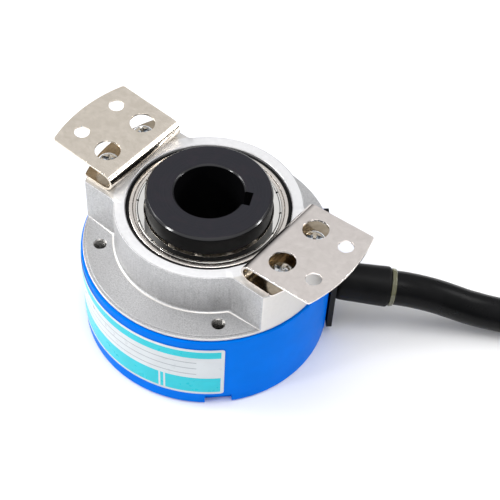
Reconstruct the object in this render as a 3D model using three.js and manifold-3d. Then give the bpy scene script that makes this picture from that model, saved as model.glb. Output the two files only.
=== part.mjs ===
// Hollow-shaft rotary encoder, in millimetres. +Z runs along the shaft, away from the rear cover.
// The origin is on the shaft's axis at the rear cover's flat face. The two leaf springs lie along X.
import * as THREE from 'three';
import * as BufferGeometryUtils from 'three/addons/utils/BufferGeometryUtils.js';
import Module from 'manifold-3d';

const wasm = await Module();
wasm.setup();

// ---- Driving dimensions -------------------------------------------------------------------------

const ROUND = 32; // sides of the large turned parts
const SMALL = 12; // sides of screws, pins and holes
const FACE_GAP = 0.3; // between parts that meet in a turned or bent group
const FIT_GAP = 0.05; // between parts pressed or stacked on one axis

const CASE_R = 30;
const CASE_TOP = 24;
const CASE_WALL = 2.6;
const CASE_FLOOR = 2;
const SHAFT_OPENING_R = 11.2;

const FLANGE_R = 29.5;
const FLANGE_TOP = 25.2;
const FLANGE_UNDERSIDE = 21.6;
const LIP_THICK = 0.9;
const BOSS_R = 21.9;
const BOSS_TOP = 36.9;
const BOSS_FOOT = 19;
const ARM_HALF_WIDTH = 13.4;
const ARM_R = 29.6;
const ARM_FILLET = 1.6;

const BEARING = {
  bore: 12.5, outside: 18.5, width: 7, pitch: 15.5, shoulder: 1.3, ball: 1.65, balls: 12,
};
const FRONT_BEARING_TOP = 36.4;
const BEARING_APART = 2;
const SEAT_R = BEARING.outside + FIT_GAP;
const SEAL_GROOVE = { r: 19.15, floor: BOSS_TOP - 1.6 }; // round the front bearing, in the boss

const BORE_R = 8;
const COLLAR_R = 14.6;
const COLLAR_TOP = 41.46;
const SHAFT_BOTTOM = 0.6;
const HUB_SEAT_R = 11.6;
const TAIL_R = 10.6;
const KEY_WIDTH = 4;
const KEY_FLOOR_R = 9.85;
const KEY_ANGLE = 25;

const CLIP_THICK = 1.1;
const CLIP_R = 13.6;
const HUB_R = 14.5;
const DISC_R = 19.5;
const DISC_BOTTOM = 13.2;
const DISC_THICK = 0.8;
const BOARD_R = 26.6;
const BOARD_BOTTOM = 5.4;
const BOARD_THICK = 1.6;

const SHEET = 0.5;
const SPRING_HALF_WIDTH = 12;
const SPRING_BOTTOM = BOSS_TOP + FIT_GAP;
const SPRING_TOP = 41.7; // over the fold, where the upper leaf starts to rise
const FOLD_R = (SPRING_TOP - SPRING_BOTTOM) / 2;
const FOLD_X = 19 + FOLD_R;
const FOLD_Z = SPRING_BOTTOM + FOLD_R;
const LOWER_LEAF_R = 30;
const UPPER_LEAF_R = 39.1;
const LEAF_TILT = 4; // rise of the upper leaf away from the fold, in degrees
const LEAF_GAP = 0.45; // between the fold and the leaf that turns about it
const SCREW_X = 25.5;
const SCREW_Y = 6;
const ACCESS_HOLE = { x: 25.75, r: 3 }; // both holes are placed in the plane of the upper leaf
const MOUNT_HOLE = { x: 34, y: 5.9, r: 1.8 };

const FLANGE_HOLE = { circle: 25.4, r: 1.3, mouth: 1.5, angles: [45, 135, 225, 315] };
const POST = { circle: 24.6, r: 2.3, angles: [100, 220, 340] };
const STANDOFF = { circle: 24.2, r: 1.8, angles: [10, 150, 270] };
const SPRING_SCREW = { head: 2.75, height: 2, shank: 1.4, length: 7, cross: 0.6 };
const BOARD_SCREW = { head: 2, height: 1.3, shank: 0.95, length: 5.5, cross: 0.5 };
const COVER_SCREW = { head: 2.5, height: 1.05, shank: 1.05, length: 7, sunk: 0.15 };
const NOTCH = { angle: -45, halfWidth: 3.2, depth: 1.6, height: 3 };
const LABEL = { gap: 0.12, skin: 0.08, from: -165, to: -42.8, bottom: 4.2, top: 21.6 };

const OPTICS = { angle: 200, inner: 15, outer: 21, halfWidth: 4.5, gap: 0.5, lampGap: 0.8 };
const CHIP = { angle: 300, inner: 14.5, outer: 22.5, halfWidth: 5, height: 1.6 };
const HEADER = { inner: 17.5, outer: 21.5, from: -8.8, to: 1.2, height: 2.2 };
const WIRES_R = 1.3;

const PLATE = { angle: 43, outer: 30.15, thick: 1.3, halfWidth: 10.6, bottom: 2, top: 22.5 };
const PAD_BACK = CASE_R - CASE_WALL - 1.8; // the cover's wall is thicker behind the plate
const CABLE_R = 4.25;
const EXIT = { side: -3.8, z: 12.4, heading: 34, slope: -4 };
const BOOT = { root: 4.65, end: 5, length: 14.1 };
const NECK_R = 3.8;
const END_RING = { r: 4.7, length: 1 };

// The cable's centre line from the boot to the place where it joins the coil.
const LEAD_ROUTE = [
  [39.5, 27.8, 11.1],
  [42.8, 30.0, 10.43],
  [46.05, 32.15, 9.46],
  [49.2, 34.2, 8.2],
  [52.4, 36.25, 6.82],
  [55.6, 38.35, 5.74],
  [58.95, 40.45, 4.97],
  [62.3, 42.55, 4.53],
  [65.7, 44.65, 4.4],
  [72.5, 48.85, 4.4],
  [81.1, 53.95, 4.4],
  [90, 59.1, 4.4],
  [99, 64.3, 4.4],
  [108.5, 69.8, 4.4],
  [118.1, 75.3, 4.4],
];
const JOIN_HEADING = 30;
const TURN_R = 50.5; // middle of the coil's bundle of turns
const TURN_LOOSENESS = 0.3; // how far the turns stand off the floor and each other
const HUMP_HEIGHT = 1.1; // where the cable climbs over itself
// The connector points along the winding where it touches the coil's middle circle at its angle,
// and its middle lies a little way past that point.
const CONNECTOR = {
  length: 36, width: 17, height: 10, corner: 1.5, angle: 325, past: 12,
};

// ---- Shapes -------------------------------------------------------------------------------------

const radians = THREE.MathUtils.degToRad;

const polar = (radius, degrees) => [
  radius * Math.cos(radians(degrees)),
  radius * Math.sin(radians(degrees)),
];

/** A closed three.js geometry as a solid that can be cut and joined. */
function solid(geometry) {
  const bare = geometry.clone();
  bare.deleteAttribute('normal');
  bare.deleteAttribute('uv');
  const merged = BufferGeometryUtils.mergeVertices(bare, 1e-4);
  const index = merged.index.array;
  const triangles = [];
  for (let i = 0; i < index.length; i += 3) {
    const [a, b, c] = index.slice(i, i + 3);
    if (a !== b && b !== c && c !== a) triangles.push(a, b, c);
  }
  return new wasm.Manifold(
    new wasm.Mesh({
      numProp: 3,
      vertProperties: new Float32Array(merged.attributes.position.array),
      triVerts: new Uint32Array(triangles),
    }),
  );
}

/** A cut or joined solid as a three.js geometry again. */
function geometryOf(body) {
  const mesh = body.getMesh();
  const geometry = new THREE.BufferGeometry();
  const positions = new Float32Array((mesh.vertProperties.length / mesh.numProp) * 3);
  for (let i = 0; i < positions.length / 3; i += 1) {
    positions.set(mesh.vertProperties.slice(i * mesh.numProp, i * mesh.numProp + 3), i * 3);
  }
  geometry.setAttribute('position', new THREE.BufferAttribute(positions, 3));
  geometry.setIndex([...mesh.triVerts]);
  geometry.computeVertexNormals();
  return geometry;
}

const join = (...geometries) => geometryOf(geometries.map(solid).reduce((a, b) => a.add(b)));

const cut = (geometry, ...tools) =>
  geometryOf(tools.map(solid).reduce((a, b) => a.subtract(b), solid(geometry)));

/** A profile of [radius, height] points, counterclockwise, turned about Z. */
function turned(profile, sides = ROUND) {
  const points = profile.map(([radius, height]) => new THREE.Vector2(radius, height));
  const closes = profile[0][0] > 0 || profile.at(-1)[0] > 0;
  if (closes) points.push(points[0].clone());
  return new THREE.LatheGeometry(points, sides).rotateX(Math.PI / 2);
}

const ring = (inner, outer, bottom, top, sides = ROUND) =>
  turned([[inner, bottom], [outer, bottom], [outer, top], [inner, top]], sides);

const rod = (radius, bottom, top, sides = SMALL) =>
  turned([[0, bottom], [radius, bottom], [radius, top], [0, top]], sides);

const box = (x0, x1, y0, y1, z0, z1) =>
  new THREE.BoxGeometry(x1 - x0, y1 - y0, z1 - z0)
    .translate((x0 + x1) / 2, (y0 + y1) / 2, (z0 + z1) / 2);

/** A flat outline in X and Y, raised from bottom to top. */
const raised = (shape, bottom, top, curveSegments = 6) =>
  new THREE.ExtrudeGeometry(shape, { depth: top - bottom, bevelEnabled: false, curveSegments })
    .translate(0, 0, bottom);

/** An outline whose x and y lie along Y and Z, made thick along X. */
const upright = (shape, near, far, curveSegments = 3) =>
  raised(shape, near, far, curveSegments).rotateX(Math.PI / 2).rotateZ(Math.PI / 2);

/** The same geometry on every angle of a circle, in degrees. */
const around = (geometry, circle, angles) =>
  angles.map((angle) => geometry.clone().translate(...polar(circle, angle), 0));

function roundedRectangle(x0, x1, y0, y1, corner) {
  const shape = new THREE.Shape();
  shape.absarc(x1 - corner, y1 - corner, corner, 0, Math.PI / 2);
  shape.absarc(x0 + corner, y1 - corner, corner, Math.PI / 2, Math.PI);
  shape.absarc(x0 + corner, y0 + corner, corner, Math.PI, Math.PI * 1.5);
  shape.absarc(x1 - corner, y0 + corner, corner, Math.PI * 1.5, Math.PI * 2);
  return shape;
}

/** A stretch of a flat ring between two angles in degrees. */
function ringSector(inner, outer, from, to) {
  const shape = new THREE.Shape();
  shape.absarc(0, 0, outer, radians(from), radians(to), false);
  shape.absarc(0, 0, inner, radians(to), radians(from), true);
  return shape;
}

function part(name, geometry, color, roughness, metalness) {
  const mesh = new THREE.Mesh(
    geometry,
    new THREE.MeshStandardMaterial({ color, roughness, metalness }),
  );
  mesh.name = name;
  return mesh;
}

// ---- Housing ------------------------------------------------------------------------------------

/** The cup with a flat pad for the gland plate, a shaft opening and three countersunk screws. */
function rearCover() {
  const edge = 0.5;
  const clearance = 0.1;
  const inner = CASE_R - CASE_WALL;
  const cup = turned([
    [SHAFT_OPENING_R, 0],
    [CASE_R - edge, 0],
    [CASE_R, edge],
    [CASE_R, CASE_TOP - edge / 2],
    [CASE_R - edge / 2, CASE_TOP],
    [inner, CASE_TOP],
    [inner, CASE_FLOOR],
    [SHAFT_OPENING_R, CASE_FLOOR],
  ]);
  const padFace = PLATE.outer - PLATE.thick - FIT_GAP;
  const padHalf = PLATE.halfWidth + clearance;
  const recessHalf = padHalf + 2 * clearance;
  const rim = FLANGE_UNDERSIDE - 1;
  const turnedToPlate = (geometry) => geometry.rotateZ(radians(PLATE.angle));
  const pad = turnedToPlate(
    box(PAD_BACK, padFace + 0.5, -padHalf, padHalf, PLATE.bottom + 0.3, rim),
  );
  const recess = turnedToPlate(
    box(
      padFace, CASE_R + 2, -recessHalf, recessHalf,
      PLATE.bottom - clearance, PLATE.top + clearance,
    ),
  );
  const cableHole = turnedToPlate(
    rod(NECK_R + FACE_GAP + clearance, PAD_BACK - 1, CASE_R)
      .rotateY(Math.PI / 2)
      .translate(0, EXIT.side, EXIT.z),
  );
  const notch = box(
    CASE_R - NOTCH.depth, CASE_R + 1, -NOTCH.halfWidth, NOTCH.halfWidth, -1, NOTCH.height,
  ).rotateZ(radians(NOTCH.angle));
  const screwHole = join(
    rod(COVER_SCREW.shank + 0.55, -1, CASE_FLOOR + 1),
    rod(COVER_SCREW.head + 0.2, -1, COVER_SCREW.height + 0.2),
  );
  const screwHoles = around(screwHole, POST.circle, POST.angles);
  return cut(join(cup, pad), recess, cableHole, notch, ...screwHoles);
}

/** One arm's outline, with fillets where its side walls meet the bearing boss. */
function armOutline() {
  const centreY = ARM_HALF_WIDTH + ARM_FILLET;
  const centreX = Math.sqrt((BOSS_R + ARM_FILLET) ** 2 - centreY ** 2);
  const towardBoss = Math.atan2(centreY, centreX);
  const endAngle = Math.asin(ARM_HALF_WIDTH / ARM_R);
  const shape = new THREE.Shape();
  shape.absarc(0, 0, ARM_R, -endAngle, endAngle, false);
  shape.absarc(centreX, centreY, ARM_FILLET, -Math.PI / 2, towardBoss - Math.PI, true);
  shape.absarc(0, 0, BOSS_R - 1.5, towardBoss, -towardBoss, true);
  shape.absarc(centreX, -centreY, ARM_FILLET, Math.PI - towardBoss, Math.PI / 2, true);
  return shape;
}

/** The die-cast body: flange, bearing boss, two arms and the posts for the cover's screws. */
function bodyCasting() {
  const spigotR = CASE_R - CASE_WALL - 0.2;
  const lipBottom = FLANGE_TOP - LIP_THICK;
  const edge = 0.35;
  const frontSeatFloor = FRONT_BEARING_TOP - BEARING.width;
  const rearSeatRoof = frontSeatFloor - BEARING_APART;
  const ribR = BEARING.outside - 1.5;
  const body = turned([
    [SEAT_R, BOSS_FOOT],
    [BOSS_R, BOSS_FOOT],
    [BOSS_R, FLANGE_UNDERSIDE],
    [spigotR, FLANGE_UNDERSIDE],
    [spigotR, lipBottom],
    [FLANGE_R, lipBottom],
    [FLANGE_R, FLANGE_TOP - edge],
    [FLANGE_R - edge, FLANGE_TOP],
    [BOSS_R, FLANGE_TOP],
    [BOSS_R, BOSS_TOP],
    [SEAL_GROOVE.r, BOSS_TOP],
    [SEAL_GROOVE.r, SEAL_GROOVE.floor],
    [SEAT_R, SEAL_GROOVE.floor],
    [SEAT_R, frontSeatFloor - FIT_GAP],
    [ribR, frontSeatFloor - FIT_GAP],
    [ribR, rearSeatRoof + FIT_GAP],
    [SEAT_R, rearSeatRoof + FIT_GAP],
  ]);
  const arm = raised(armOutline(), FLANGE_TOP - 1, BOSS_TOP);
  const post = rod(POST.r, CASE_FLOOR + FIT_GAP, FLANGE_UNDERSIDE + 0.5);
  const joined = join(
    body,
    arm,
    arm.clone().rotateZ(Math.PI),
    ...around(post, POST.circle, POST.angles),
  );
  const armHole = rod(SPRING_SCREW.shank + 0.15, BOSS_TOP - SPRING_SCREW.length - 1, BOSS_TOP + 1);
  const flangeHole = join(
    rod(FLANGE_HOLE.r, FLANGE_UNDERSIDE - 1, FLANGE_TOP + 1),
    rod(FLANGE_HOLE.mouth, FLANGE_TOP - edge, FLANGE_TOP + 1),
  );
  const postHole = rod(COVER_SCREW.shank + 0.15, 0, CASE_FLOOR + COVER_SCREW.length);
  const standoffHole = rod(1.05, FLANGE_UNDERSIDE - 1, FLANGE_UNDERSIDE + 2.5);
  return cut(
    joined,
    ...springScrewPlaces().map(([x, y]) => armHole.clone().translate(x, y, 0)),
    ...around(flangeHole, FLANGE_HOLE.circle, FLANGE_HOLE.angles),
    ...around(postHole, POST.circle, POST.angles),
    ...around(standoffHole, STANDOFF.circle, STANDOFF.angles),
  );
}

function springScrewPlaces() {
  return [
    [SCREW_X, SCREW_Y],
    [SCREW_X, -SCREW_Y],
    [-SCREW_X, SCREW_Y],
    [-SCREW_X, -SCREW_Y],
  ];
}

/** A screw with its head's underside at z 0 and its shank going down. */
function screw({ head, height, shank, length, cross }) {
  const body = turned(
    [
      [0, -length],
      [shank, -length],
      [shank, 0],
      [head, 0],
      [head, height * 0.6],
      [head * 0.7, height],
      [0, height],
    ],
    SMALL,
  );
  const reach = head / 2;
  const slot = box(-reach, reach, -cross / 2, cross / 2, height / 2, height + 1);
  return cut(body, slot, slot.clone().rotateZ(Math.PI / 2));
}

function springScrews() {
  return springScrewPlaces().map(([x, y], i) => {
    const mesh = part(`spring_screw_${i + 1}`, screw(SPRING_SCREW), 0xd4d6d8, 0.3, 0.9);
    mesh.position.set(x, y, SPRING_BOTTOM + SHEET + FIT_GAP);
    return mesh;
  });
}

function coverScrews() {
  const { head, height, shank, length, sunk } = COVER_SCREW;
  const geometry = join(rod(head, -height, 0), rod(shank, -length, FIT_GAP - height));
  geometry.rotateX(Math.PI);
  return POST.angles.map((angle, i) => {
    const mesh = part(`cover_screw_${i + 1}`, geometry.clone(), 0xc8cacc, 0.35, 0.9);
    mesh.position.set(...polar(POST.circle, angle), sunk);
    return mesh;
  });
}

function boardStandoffs() {
  const top = FLANGE_UNDERSIDE - FIT_GAP;
  const bottom = BOARD_BOTTOM + BOARD_THICK + FIT_GAP;
  const geometry = cut(rod(STANDOFF.r, bottom, top), rod(1.1, bottom - 1, bottom + 6));
  return STANDOFF.angles.map((angle, i) => {
    const mesh = part(`board_standoff_${i + 1}`, geometry.clone(), 0xc9a75a, 0.35, 0.8);
    mesh.position.set(...polar(STANDOFF.circle, angle), 0);
    return mesh;
  });
}

function boardScrews() {
  return STANDOFF.angles.map((angle, i) => {
    const geometry = screw(BOARD_SCREW).rotateX(Math.PI);
    const mesh = part(`board_screw_${i + 1}`, geometry, 0xc8cacc, 0.35, 0.9);
    mesh.position.set(...polar(STANDOFF.circle, angle), BOARD_BOTTOM - FIT_GAP);
    return mesh;
  });
}

function mainBoard() {
  const sheet = ring(TAIL_R + 1.4, BOARD_R, BOARD_BOTTOM, BOARD_BOTTOM + BOARD_THICK);
  const postClearance = rod(POST.r + 0.4, 0, CASE_TOP);
  const screwClearance = rod(BOARD_SCREW.shank + 0.25, 0, CASE_TOP);
  const padHalf = PLATE.halfWidth + 1.4;
  const padClearance = box(PAD_BACK - FACE_GAP, CASE_R, -padHalf, padHalf, 0, CASE_TOP);
  return cut(
    sheet,
    ...around(postClearance, POST.circle, POST.angles),
    ...around(screwClearance, STANDOFF.circle, STANDOFF.angles),
    padClearance.rotateZ(radians(PLATE.angle)),
  );
}

/** The detector and its mask under one stretch of the disc's track, and the lamp over it. */
function opticalParts() {
  const { angle, inner, outer, halfWidth, gap, lampGap } = OPTICS;
  const maskTop = DISC_BOTTOM - gap;
  const maskBottom = maskTop - 0.6;
  const lampBottom = DISC_BOTTOM + DISC_THICK + lampGap;
  const detector = box(
    inner, outer, -halfWidth, halfWidth, BOARD_BOTTOM + BOARD_THICK + FIT_GAP, maskBottom - 0.1,
  );
  const mask = box(inner + 0.2, outer - 0.5, 0.5 - halfWidth, halfWidth - 0.5, maskBottom, maskTop);
  const lamp = box(
    inner, outer + 0.4, 0.5 - halfWidth, halfWidth - 0.5, lampBottom, BOSS_FOOT - FIT_GAP,
  );
  const group = new THREE.Group();
  group.rotation.z = radians(angle);
  group.add(
    part('detector_block', detector, 0x202428, 0.6, 0),
    part('mask_plate', mask, 0x9fb4b8, 0.1, 0.1),
    part('light_source', lamp, 0x2b2b30, 0.5, 0),
  );
  return group;
}

function boardParts() {
  const seat = BOARD_BOTTOM + BOARD_THICK + FIT_GAP;
  const chipShape = box(
    CHIP.inner, CHIP.outer, -CHIP.halfWidth, CHIP.halfWidth, seat, seat + CHIP.height,
  );
  const chip = part('signal_chip', chipShape, 0x17181a, 0.6, 0);
  chip.rotation.z = radians(CHIP.angle);
  const headerTop = seat + HEADER.height;
  const headerShape = box(HEADER.inner, HEADER.outer, HEADER.from, HEADER.to, seat, headerTop);
  const header = part('wire_header', headerShape, 0xe8e4d8, 0.5, 0);
  header.rotation.z = radians(PLATE.angle);
  const boot = PAD_BACK - 1 - 2 * FACE_GAP;
  const path = new THREE.QuadraticBezierCurve3(
    new THREE.Vector3(boot, EXIT.side, EXIT.z),
    new THREE.Vector3(boot - 3.2, EXIT.side, EXIT.z),
    new THREE.Vector3(boot - 4, EXIT.side, headerTop + FACE_GAP),
  );
  const wires = part('wire_bundle', tube(path, WIRES_R, 6, 6), 0x8a8f99, 0.6, 0);
  wires.rotation.z = radians(PLATE.angle);
  return [chip, header, wires];
}

/** A round bar along a curve. */
function tube(path, radius, steps, sides) {
  const section = new THREE.Shape();
  for (let i = 0; i < sides; i += 1) {
    const [x, y] = polar(radius, (360 / sides) * (i + 0.5));
    if (i === 0) section.moveTo(x, y);
    else section.lineTo(x, y);
  }
  return new THREE.ExtrudeGeometry(section, { steps, bevelEnabled: false, extrudePath: path });
}

function sideLabel() {
  const { gap, skin, from, to, bottom, top } = LABEL;
  const outline = ringSector(CASE_R + gap, CASE_R + gap + skin, from, to);
  return part('side_label', raised(outline, bottom, top, 16), 0xe9eef2, 0.35, 0);
}

// ---- Bearings -----------------------------------------------------------------------------------

const bearingBottoms = {
  front: FRONT_BEARING_TOP - BEARING.width,
  rear: FRONT_BEARING_TOP - 2 * BEARING.width - BEARING_APART,
};

/** Points of the ball groove, on the side of the pitch circle given by side, from low to high. */
function groove(side, middle) {
  const radius = BEARING.ball + 0.25;
  return [-45, 0, 45].map((angle) => {
    const [across, up] = polar(radius, angle);
    return [BEARING.pitch + side * across, middle + up];
  });
}

function bearingRings(place) {
  const edge = 0.3;
  const bottom = bearingBottoms[place];
  const top = bottom + BEARING.width;
  const middle = bottom + BEARING.width / 2;
  const outerInside = BEARING.pitch + BEARING.shoulder;
  const innerOutside = BEARING.pitch - BEARING.shoulder;
  const outer = turned([
    [outerInside, bottom],
    [BEARING.outside - edge, bottom],
    [BEARING.outside, bottom + edge],
    [BEARING.outside, top - edge],
    [BEARING.outside - edge, top],
    [outerInside, top],
    ...groove(1, middle).reverse(),
  ]);
  const inner = turned([
    [BEARING.bore + FIT_GAP, bottom],
    [innerOutside, bottom],
    ...groove(-1, middle),
    [innerOutside, top],
    [BEARING.bore + FIT_GAP, top],
  ]);
  return {
    outer: part(`${place}_outer_ring`, outer, 0xb8bcc0, 0.25, 1),
    inner: part(`${place}_inner_ring`, inner, 0xb8bcc0, 0.25, 1),
  };
}

/** The balls and the cage that keeps them apart, joined because they travel together. */
function ballCage(place) {
  const middle = bearingBottoms[place] + BEARING.width / 2;
  const cage = ring(BEARING.pitch - 0.5, BEARING.pitch + 0.5, middle - 0.6, middle + 0.6, 24);
  const angles = Array.from({ length: BEARING.balls }, (_, i) => (360 / BEARING.balls) * i);
  const ball = new THREE.OctahedronGeometry(BEARING.ball, 1).translate(0, 0, middle);
  const balls = around(ball, BEARING.pitch, angles);
  return part(`${place}_ball_cage`, join(cage, ...balls), 0xa89878, 0.3, 0.9);
}

/** A pressed washer between the bearing's rings, sunk a little below their faces. */
function frontShield() {
  const top = FRONT_BEARING_TOP - 0.4;
  const outer = BEARING.pitch + BEARING.shoulder - 0.1;
  const geometry = ring(COLLAR_R + 0.25, outer, top - 0.3, top);
  return part('front_bearing_shield', geometry, 0xc4c6c8, 0.3, 1);
}

/** The rubber ring in the groove round the front bearing. */
function sealRing() {
  const { r, floor } = SEAL_GROOVE;
  const top = FRONT_BEARING_TOP - 0.1;
  const geometry = ring(SEAT_R, r - FIT_GAP, floor + FIT_GAP, top);
  return part('front_seal_ring', geometry, 0x111112, 0.7, 0);
}

function retainingRing() {
  const top = bearingBottoms.rear - FIT_GAP;
  const shape = ringSector(BEARING.pitch + BEARING.shoulder, SEAT_R - 0.15, 20, 340);
  const geometry = raised(shape, top - CLIP_THICK, top, 16);
  return part('bearing_retaining_ring', geometry, 0x3a3a3c, 0.4, 0.8);
}

// ---- Shaft assembly -----------------------------------------------------------------------------

const CLIP_TOP = bearingBottoms.rear - FIT_GAP;

/** The through shaft: its tail in the cover, seats for the hub and bearings, and the collar. */
function hollowShaft() {
  const chamfer = 0.55;
  const hubSeatBottom = DISC_BOTTOM - 1.2;
  const body = turned([
    [BORE_R, SHAFT_BOTTOM],
    [TAIL_R, SHAFT_BOTTOM],
    [TAIL_R, hubSeatBottom],
    [HUB_SEAT_R, hubSeatBottom],
    [HUB_SEAT_R, CLIP_TOP + FIT_GAP],
    [BEARING.bore, CLIP_TOP + FIT_GAP],
    [BEARING.bore, FRONT_BEARING_TOP + FIT_GAP],
    [COLLAR_R, FRONT_BEARING_TOP + FIT_GAP],
    [COLLAR_R, COLLAR_TOP - chamfer],
    [COLLAR_R - chamfer, COLLAR_TOP],
    [BORE_R + 0.3, COLLAR_TOP],
    [BORE_R, COLLAR_TOP - 0.3],
  ]);
  const half = KEY_WIDTH / 2;
  const keyway = box(BORE_R - 2, KEY_FLOOR_R, -half, half, -1, COLLAR_TOP + 1);
  return part('hollow_shaft', cut(body, keyway.rotateZ(radians(KEY_ANGLE))), 0x2c2b2d, 0.35, 0.6);
}

function innerSpacer() {
  const bottom = bearingBottoms.rear + BEARING.width + FIT_GAP;
  const top = bearingBottoms.front - FIT_GAP;
  return part('inner_spacer', ring(BEARING.bore + FIT_GAP, 14, bottom, top), 0x9a9da0, 0.4, 0.9);
}

/** The open ring that keeps the rear bearing on the shaft. */
function shaftClip() {
  const shape = ringSector(HUB_SEAT_R + 0.3, CLIP_R, -65, 245);
  return part('shaft_clip', raised(shape, CLIP_TOP - CLIP_THICK, CLIP_TOP, 16), 0x3a3a3c, 0.4, 0.8);
}

/** The hub over the code disc, and the ring that clamps the disc from below. */
function codeDisc() {
  const seat = HUB_SEAT_R + FIT_GAP;
  const hubBottom = DISC_BOTTOM + DISC_THICK + FIT_GAP;
  const rimTop = hubBottom + 1.8;
  const hubTop = CLIP_TOP - CLIP_THICK - FIT_GAP;
  const hub = turned([
    [seat, hubBottom],
    [HUB_R, hubBottom],
    [HUB_R, rimTop],
    [CLIP_R, rimTop],
    [CLIP_R, hubTop],
    [seat, hubTop],
  ]);
  const disc = ring(seat, DISC_R, DISC_BOTTOM, DISC_BOTTOM + DISC_THICK);
  const clampRing = ring(seat, HUB_R - 0.2, DISC_BOTTOM - 1, DISC_BOTTOM - FIT_GAP);
  return [
    part('disc_hub', hub, 0xb9bbbd, 0.35, 0.9),
    part('code_disc', disc, 0xa9b8bd, 0.08, 0.2),
    part('disc_clamp_ring', clampRing, 0xb9bbbd, 0.35, 0.9),
  ];
}

function shaftAssembly() {
  const group = new THREE.Group();
  group.add(
    hollowShaft(),
    bearingRings('front').inner,
    bearingRings('rear').inner,
    innerSpacer(),
    shaftClip(),
    ...codeDisc(),
  );
  return group;
}

// ---- Leaf springs -------------------------------------------------------------------------------

/** A leaf's outline from a straight edge at x out to an arc about the shaft's axis. */
function leafOutline(x, radius) {
  const endAngle = Math.asin(SPRING_HALF_WIDTH / radius);
  const shape = new THREE.Shape();
  shape.absarc(0, 0, radius, -endAngle, endAngle, false);
  shape.lineTo(x, SPRING_HALF_WIDTH);
  shape.lineTo(x, -SPRING_HALF_WIDTH);
  return shape;
}

/** The lower leaf and the fold, which stay with the housing. */
function springBase() {
  const lap = 0.1;
  const outline = leafOutline(FOLD_X - lap, LOWER_LEAF_R);
  const leaf = raised(outline, SPRING_BOTTOM, SPRING_BOTTOM + SHEET, 8);
  const bend = new THREE.Shape();
  bend.absarc(FOLD_X, FOLD_Z, FOLD_R, Math.PI / 2, Math.PI * 1.5, false);
  bend.absarc(FOLD_X, FOLD_Z, FOLD_R - SHEET, Math.PI * 1.5, Math.PI / 2, true);
  const fold = raised(bend, -SPRING_HALF_WIDTH, SPRING_HALF_WIDTH, 10).rotateX(Math.PI / 2);
  const screwHole = rod(1.7, 0, SPRING_TOP);
  return cut(
    join(leaf, fold),
    screwHole.clone().translate(SCREW_X, SCREW_Y, 0),
    screwHole.clone().translate(SCREW_X, -SCREW_Y, 0),
  );
}

/** The upper leaf, which flexes about the fold. */
function springTab() {
  const leaf = raised(
    leafOutline(FOLD_X + LEAF_GAP, UPPER_LEAF_R), SPRING_TOP - SHEET, SPRING_TOP, 10,
  );
  const accessHole = rod(ACCESS_HOLE.r, 0, SPRING_TOP + 1, 24);
  const mountHole = rod(MOUNT_HOLE.r, 0, SPRING_TOP + 1);
  const holes = [1, -1].flatMap((side) => [
    accessHole.clone().translate(ACCESS_HOLE.x, side * SCREW_Y, 0),
    mountHole.clone().translate(MOUNT_HOLE.x, side * MOUNT_HOLE.y, 0),
  ]);
  return cut(leaf, ...holes)
    .translate(-FOLD_X, 0, -FOLD_Z)
    .rotateY(-radians(LEAF_TILT))
    .translate(FOLD_X, 0, FOLD_Z);
}

function leafSpring(side) {
  const group = new THREE.Group();
  group.rotation.z = side === 'right' ? 0 : Math.PI;
  group.add(
    part(`${side}_spring_base`, springBase(), 0xd8cec2, 0.3, 1),
    part(`${side}_spring_tab`, springTab(), 0xd8cec2, 0.3, 1),
  );
  return group;
}

// ---- Cable outlet and cable ---------------------------------------------------------------------

const exitPoint = new THREE.Vector3(PLATE.outer, EXIT.side, EXIT.z)
  .applyAxisAngle(new THREE.Vector3(0, 0, 1), radians(PLATE.angle));

const exitDirection = new THREE.Vector3(
  ...polar(Math.cos(radians(EXIT.slope)), EXIT.heading),
  Math.sin(radians(EXIT.slope)),
);

/** Moves a geometry made along +Z from the origin onto the cable's line out of the plate. */
function alongExit(geometry) {
  const turn = new THREE.Quaternion().setFromUnitVectors(new THREE.Vector3(0, 0, 1), exitDirection);
  return geometry.applyQuaternion(turn).translate(...exitPoint.toArray());
}

function glandPlate() {
  const { outer, thick, halfWidth, bottom, top } = PLATE;
  const outline = roundedRectangle(-halfWidth, halfWidth, bottom, top, 0.4);
  const neckHole = rod(NECK_R + FACE_GAP, 0, outer + 1)
    .rotateY(Math.PI / 2)
    .translate(0, EXIT.side, EXIT.z);
  const sheet = cut(upright(outline, outer - thick, outer), neckHole);
  const mesh = part('gland_plate', sheet, 0x17181a, 0.6, 0);
  mesh.rotation.z = radians(PLATE.angle);
  return mesh;
}

/** The boot outside the plate, a little wider at its end, with its neck and inner flange. */
function cableBoot() {
  const sides = 16;
  const sleeve = alongExit(turned([
    [0, -3],
    [BOOT.root, -3],
    [BOOT.root, 1.5],
    [BOOT.end, BOOT.length - 0.6],
    [BOOT.end - 0.5, BOOT.length],
    [0, BOOT.length],
  ], sides));
  const behindPlate = box(10, PLATE.outer + FACE_GAP, -20, 20, 0, 30)
    .rotateZ(radians(PLATE.angle));
  const flangeFront = PAD_BACK - FACE_GAP;
  const neck = join(
    rod(NECK_R, flangeFront - 1, PLATE.outer + 1, sides),
    rod(NECK_R + 1, flangeFront - 1, flangeFront, sides),
  )
    .rotateY(Math.PI / 2)
    .translate(0, EXIT.side, EXIT.z)
    .rotateZ(radians(PLATE.angle));
  return part('cable_boot', join(cut(sleeve, behindPlate), neck), 0x141516, 0.7, 0);
}

function bootEndRing() {
  const start = BOOT.length + FACE_GAP;
  const geometry = alongExit(rod(END_RING.r, start, start + END_RING.length, 16));
  return part('boot_end_ring', geometry, 0x6b6b45, 0.3, 0);
}

const LOWER_LAYER_TOP = 2 * CABLE_R + TURN_LOOSENESS;

const joinPoint = new THREE.Vector3(...LEAD_ROUTE.at(-1));

/** The coil lies to the right of the cable, whose outer turn it is tangent to. */
const coilCentre = (() => {
  const [x, y] = polar(TURN_R + CABLE_R, JOIN_HEADING - 90);
  return new THREE.Vector3(joinPoint.x + x, joinPoint.y + y, 0);
})();

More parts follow.
